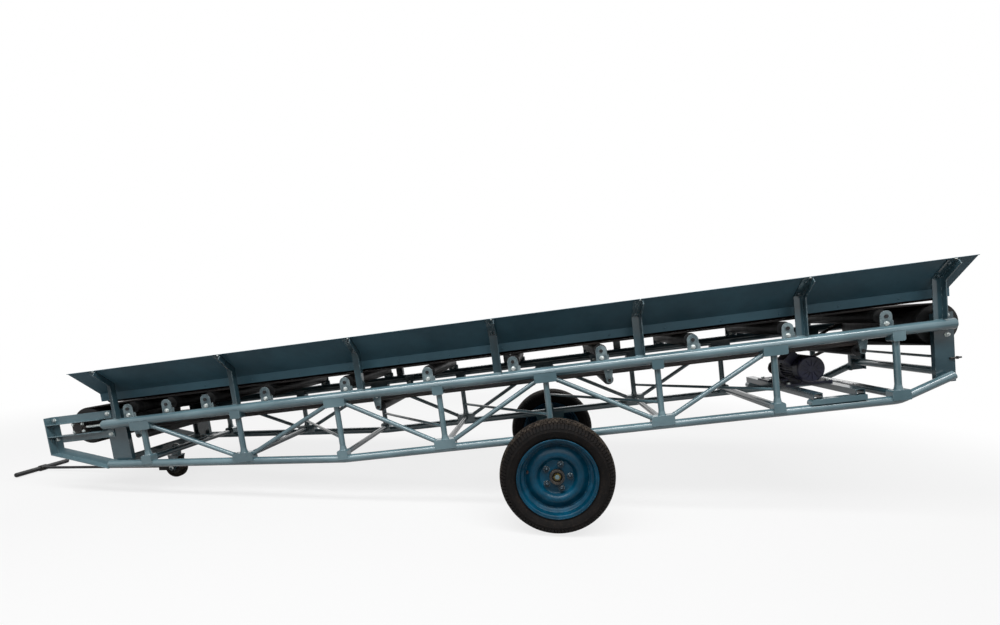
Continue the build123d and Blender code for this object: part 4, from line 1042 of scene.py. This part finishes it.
def studio_floor():
    """A large flat floor: it takes the machine's shadow and turns plain white away from it."""
    finish = Finish("studio_floor")
    corners = [(x * FLOOR_HALF, y * FLOOR_HALF, 0) for x, y in ((-1, -1), (1, -1), (1, 1), (-1, 1))]
    mesh = bpy.data.meshes.new("studio_floor")
    mesh.from_pydata(corners, [], [(0, 1, 2, 3)])
    floor = bpy.data.objects.new("studio_floor", mesh)
    bpy.context.scene.collection.objects.link(floor)
    distance = finish.node("ShaderNodeVectorMath", {"operation": "LENGTH"}, {0: finish.place},
                           output="Value")
    bounced = finish.node("ShaderNodeLightPath", output="Is Diffuse Ray")
    finish.surface(Base_Color=finish.blend(bounced, FLOOR_GREY, BOUNCED_GREY),
                   Roughness=0.8, Specular_IOR_Level=0.1)
    white = finish.node("ShaderNodeEmission", None, {"Color": WHITE, "Strength": 1.0})
    seen = finish.node("ShaderNodeLightPath", output="Is Camera Ray")
    share = (WHITE_NEAR + (1 - WHITE_NEAR) * finish.step(distance, FADE_FROM, FADE_TO)) * seen
    plain = Value(finish, finish.shader.outputs[0])
    mixed = finish.node("ShaderNodeMixShader", None, {0: share, 1: plain, 2: white})
    output = finish.tree.nodes["Material Output"]
    finish.tree.links.new(mixed.socket, output.inputs["Surface"])
    mesh.materials.append(finish.material)


def studio_world():
    """White where the camera, gloss or glass sees it, and a plain grey light for the rest."""
    world = bpy.data.worlds.new("studio_world")
    world.use_nodes = True
    bpy.context.scene.world = world
    tree = world.node_tree
    path = tree.nodes.new("ShaderNodeLightPath")
    seen = path.outputs["Is Camera Ray"]
    for ray in ("Is Glossy Ray", "Is Transmission Ray"):
        either = tree.nodes.new("ShaderNodeMath")
        either.operation = "MAXIMUM"
        tree.links.new(seen, either.inputs[0])
        tree.links.new(path.outputs[ray], either.inputs[1])
        seen = either.outputs[0]
    level = tree.nodes.new("ShaderNodeMapRange")
    level.inputs["To Min"].default_value = WORLD_LEVEL
    tree.links.new(seen, level.inputs["Value"])
    sky = tree.nodes["Background"]
    sky.inputs["Color"].default_value = WHITE
    tree.links.new(level.outputs[0], sky.inputs["Strength"])


def soft_lamp(name, place, target, length, width, power):
    """A long softbox at a place, lying along the machine and turned to its target."""
    lamp = bpy.data.lights.new(name, "AREA")
    lamp.shape = "RECTANGLE"
    lamp.size, lamp.size_y = length, width
    lamp.energy = power
    made = bpy.data.objects.new(name, lamp)
    made.location = place
    direction = np.array(target, float) - np.array(place, float)
    yaw = math.atan2(direction[1], direction[0])
    tilt = math.acos(-direction[2] / np.linalg.norm(direction))
    made.rotation_euler = (tilt, 0, yaw - math.pi / 2)
    bpy.context.scene.collection.objects.link(made)


def photograph_camera():
    """The pinhole camera solved from the photograph's panel points and wheel."""
    lens = bpy.data.cameras.new("photograph_camera")
    lens.sensor_width = SENSOR_WIDTH
    lens.lens = FOCAL_LENGTH
    lens.shift_y = LENS_RISE
    made = bpy.data.objects.new("photograph_camera", lens)
    made.location = CAMERA_PLACE
    made.rotation_euler = [math.radians(angle) for angle in CAMERA_TURN]
    bpy.context.scene.collection.objects.link(made)
    bpy.context.scene.camera = made


studio_floor()
studio_world()
for lamp_sizes in LAMPS:
    soft_lamp(*lamp_sizes)
photograph_camera()
bpy.context.scene.view_settings.view_transform = "Standard"
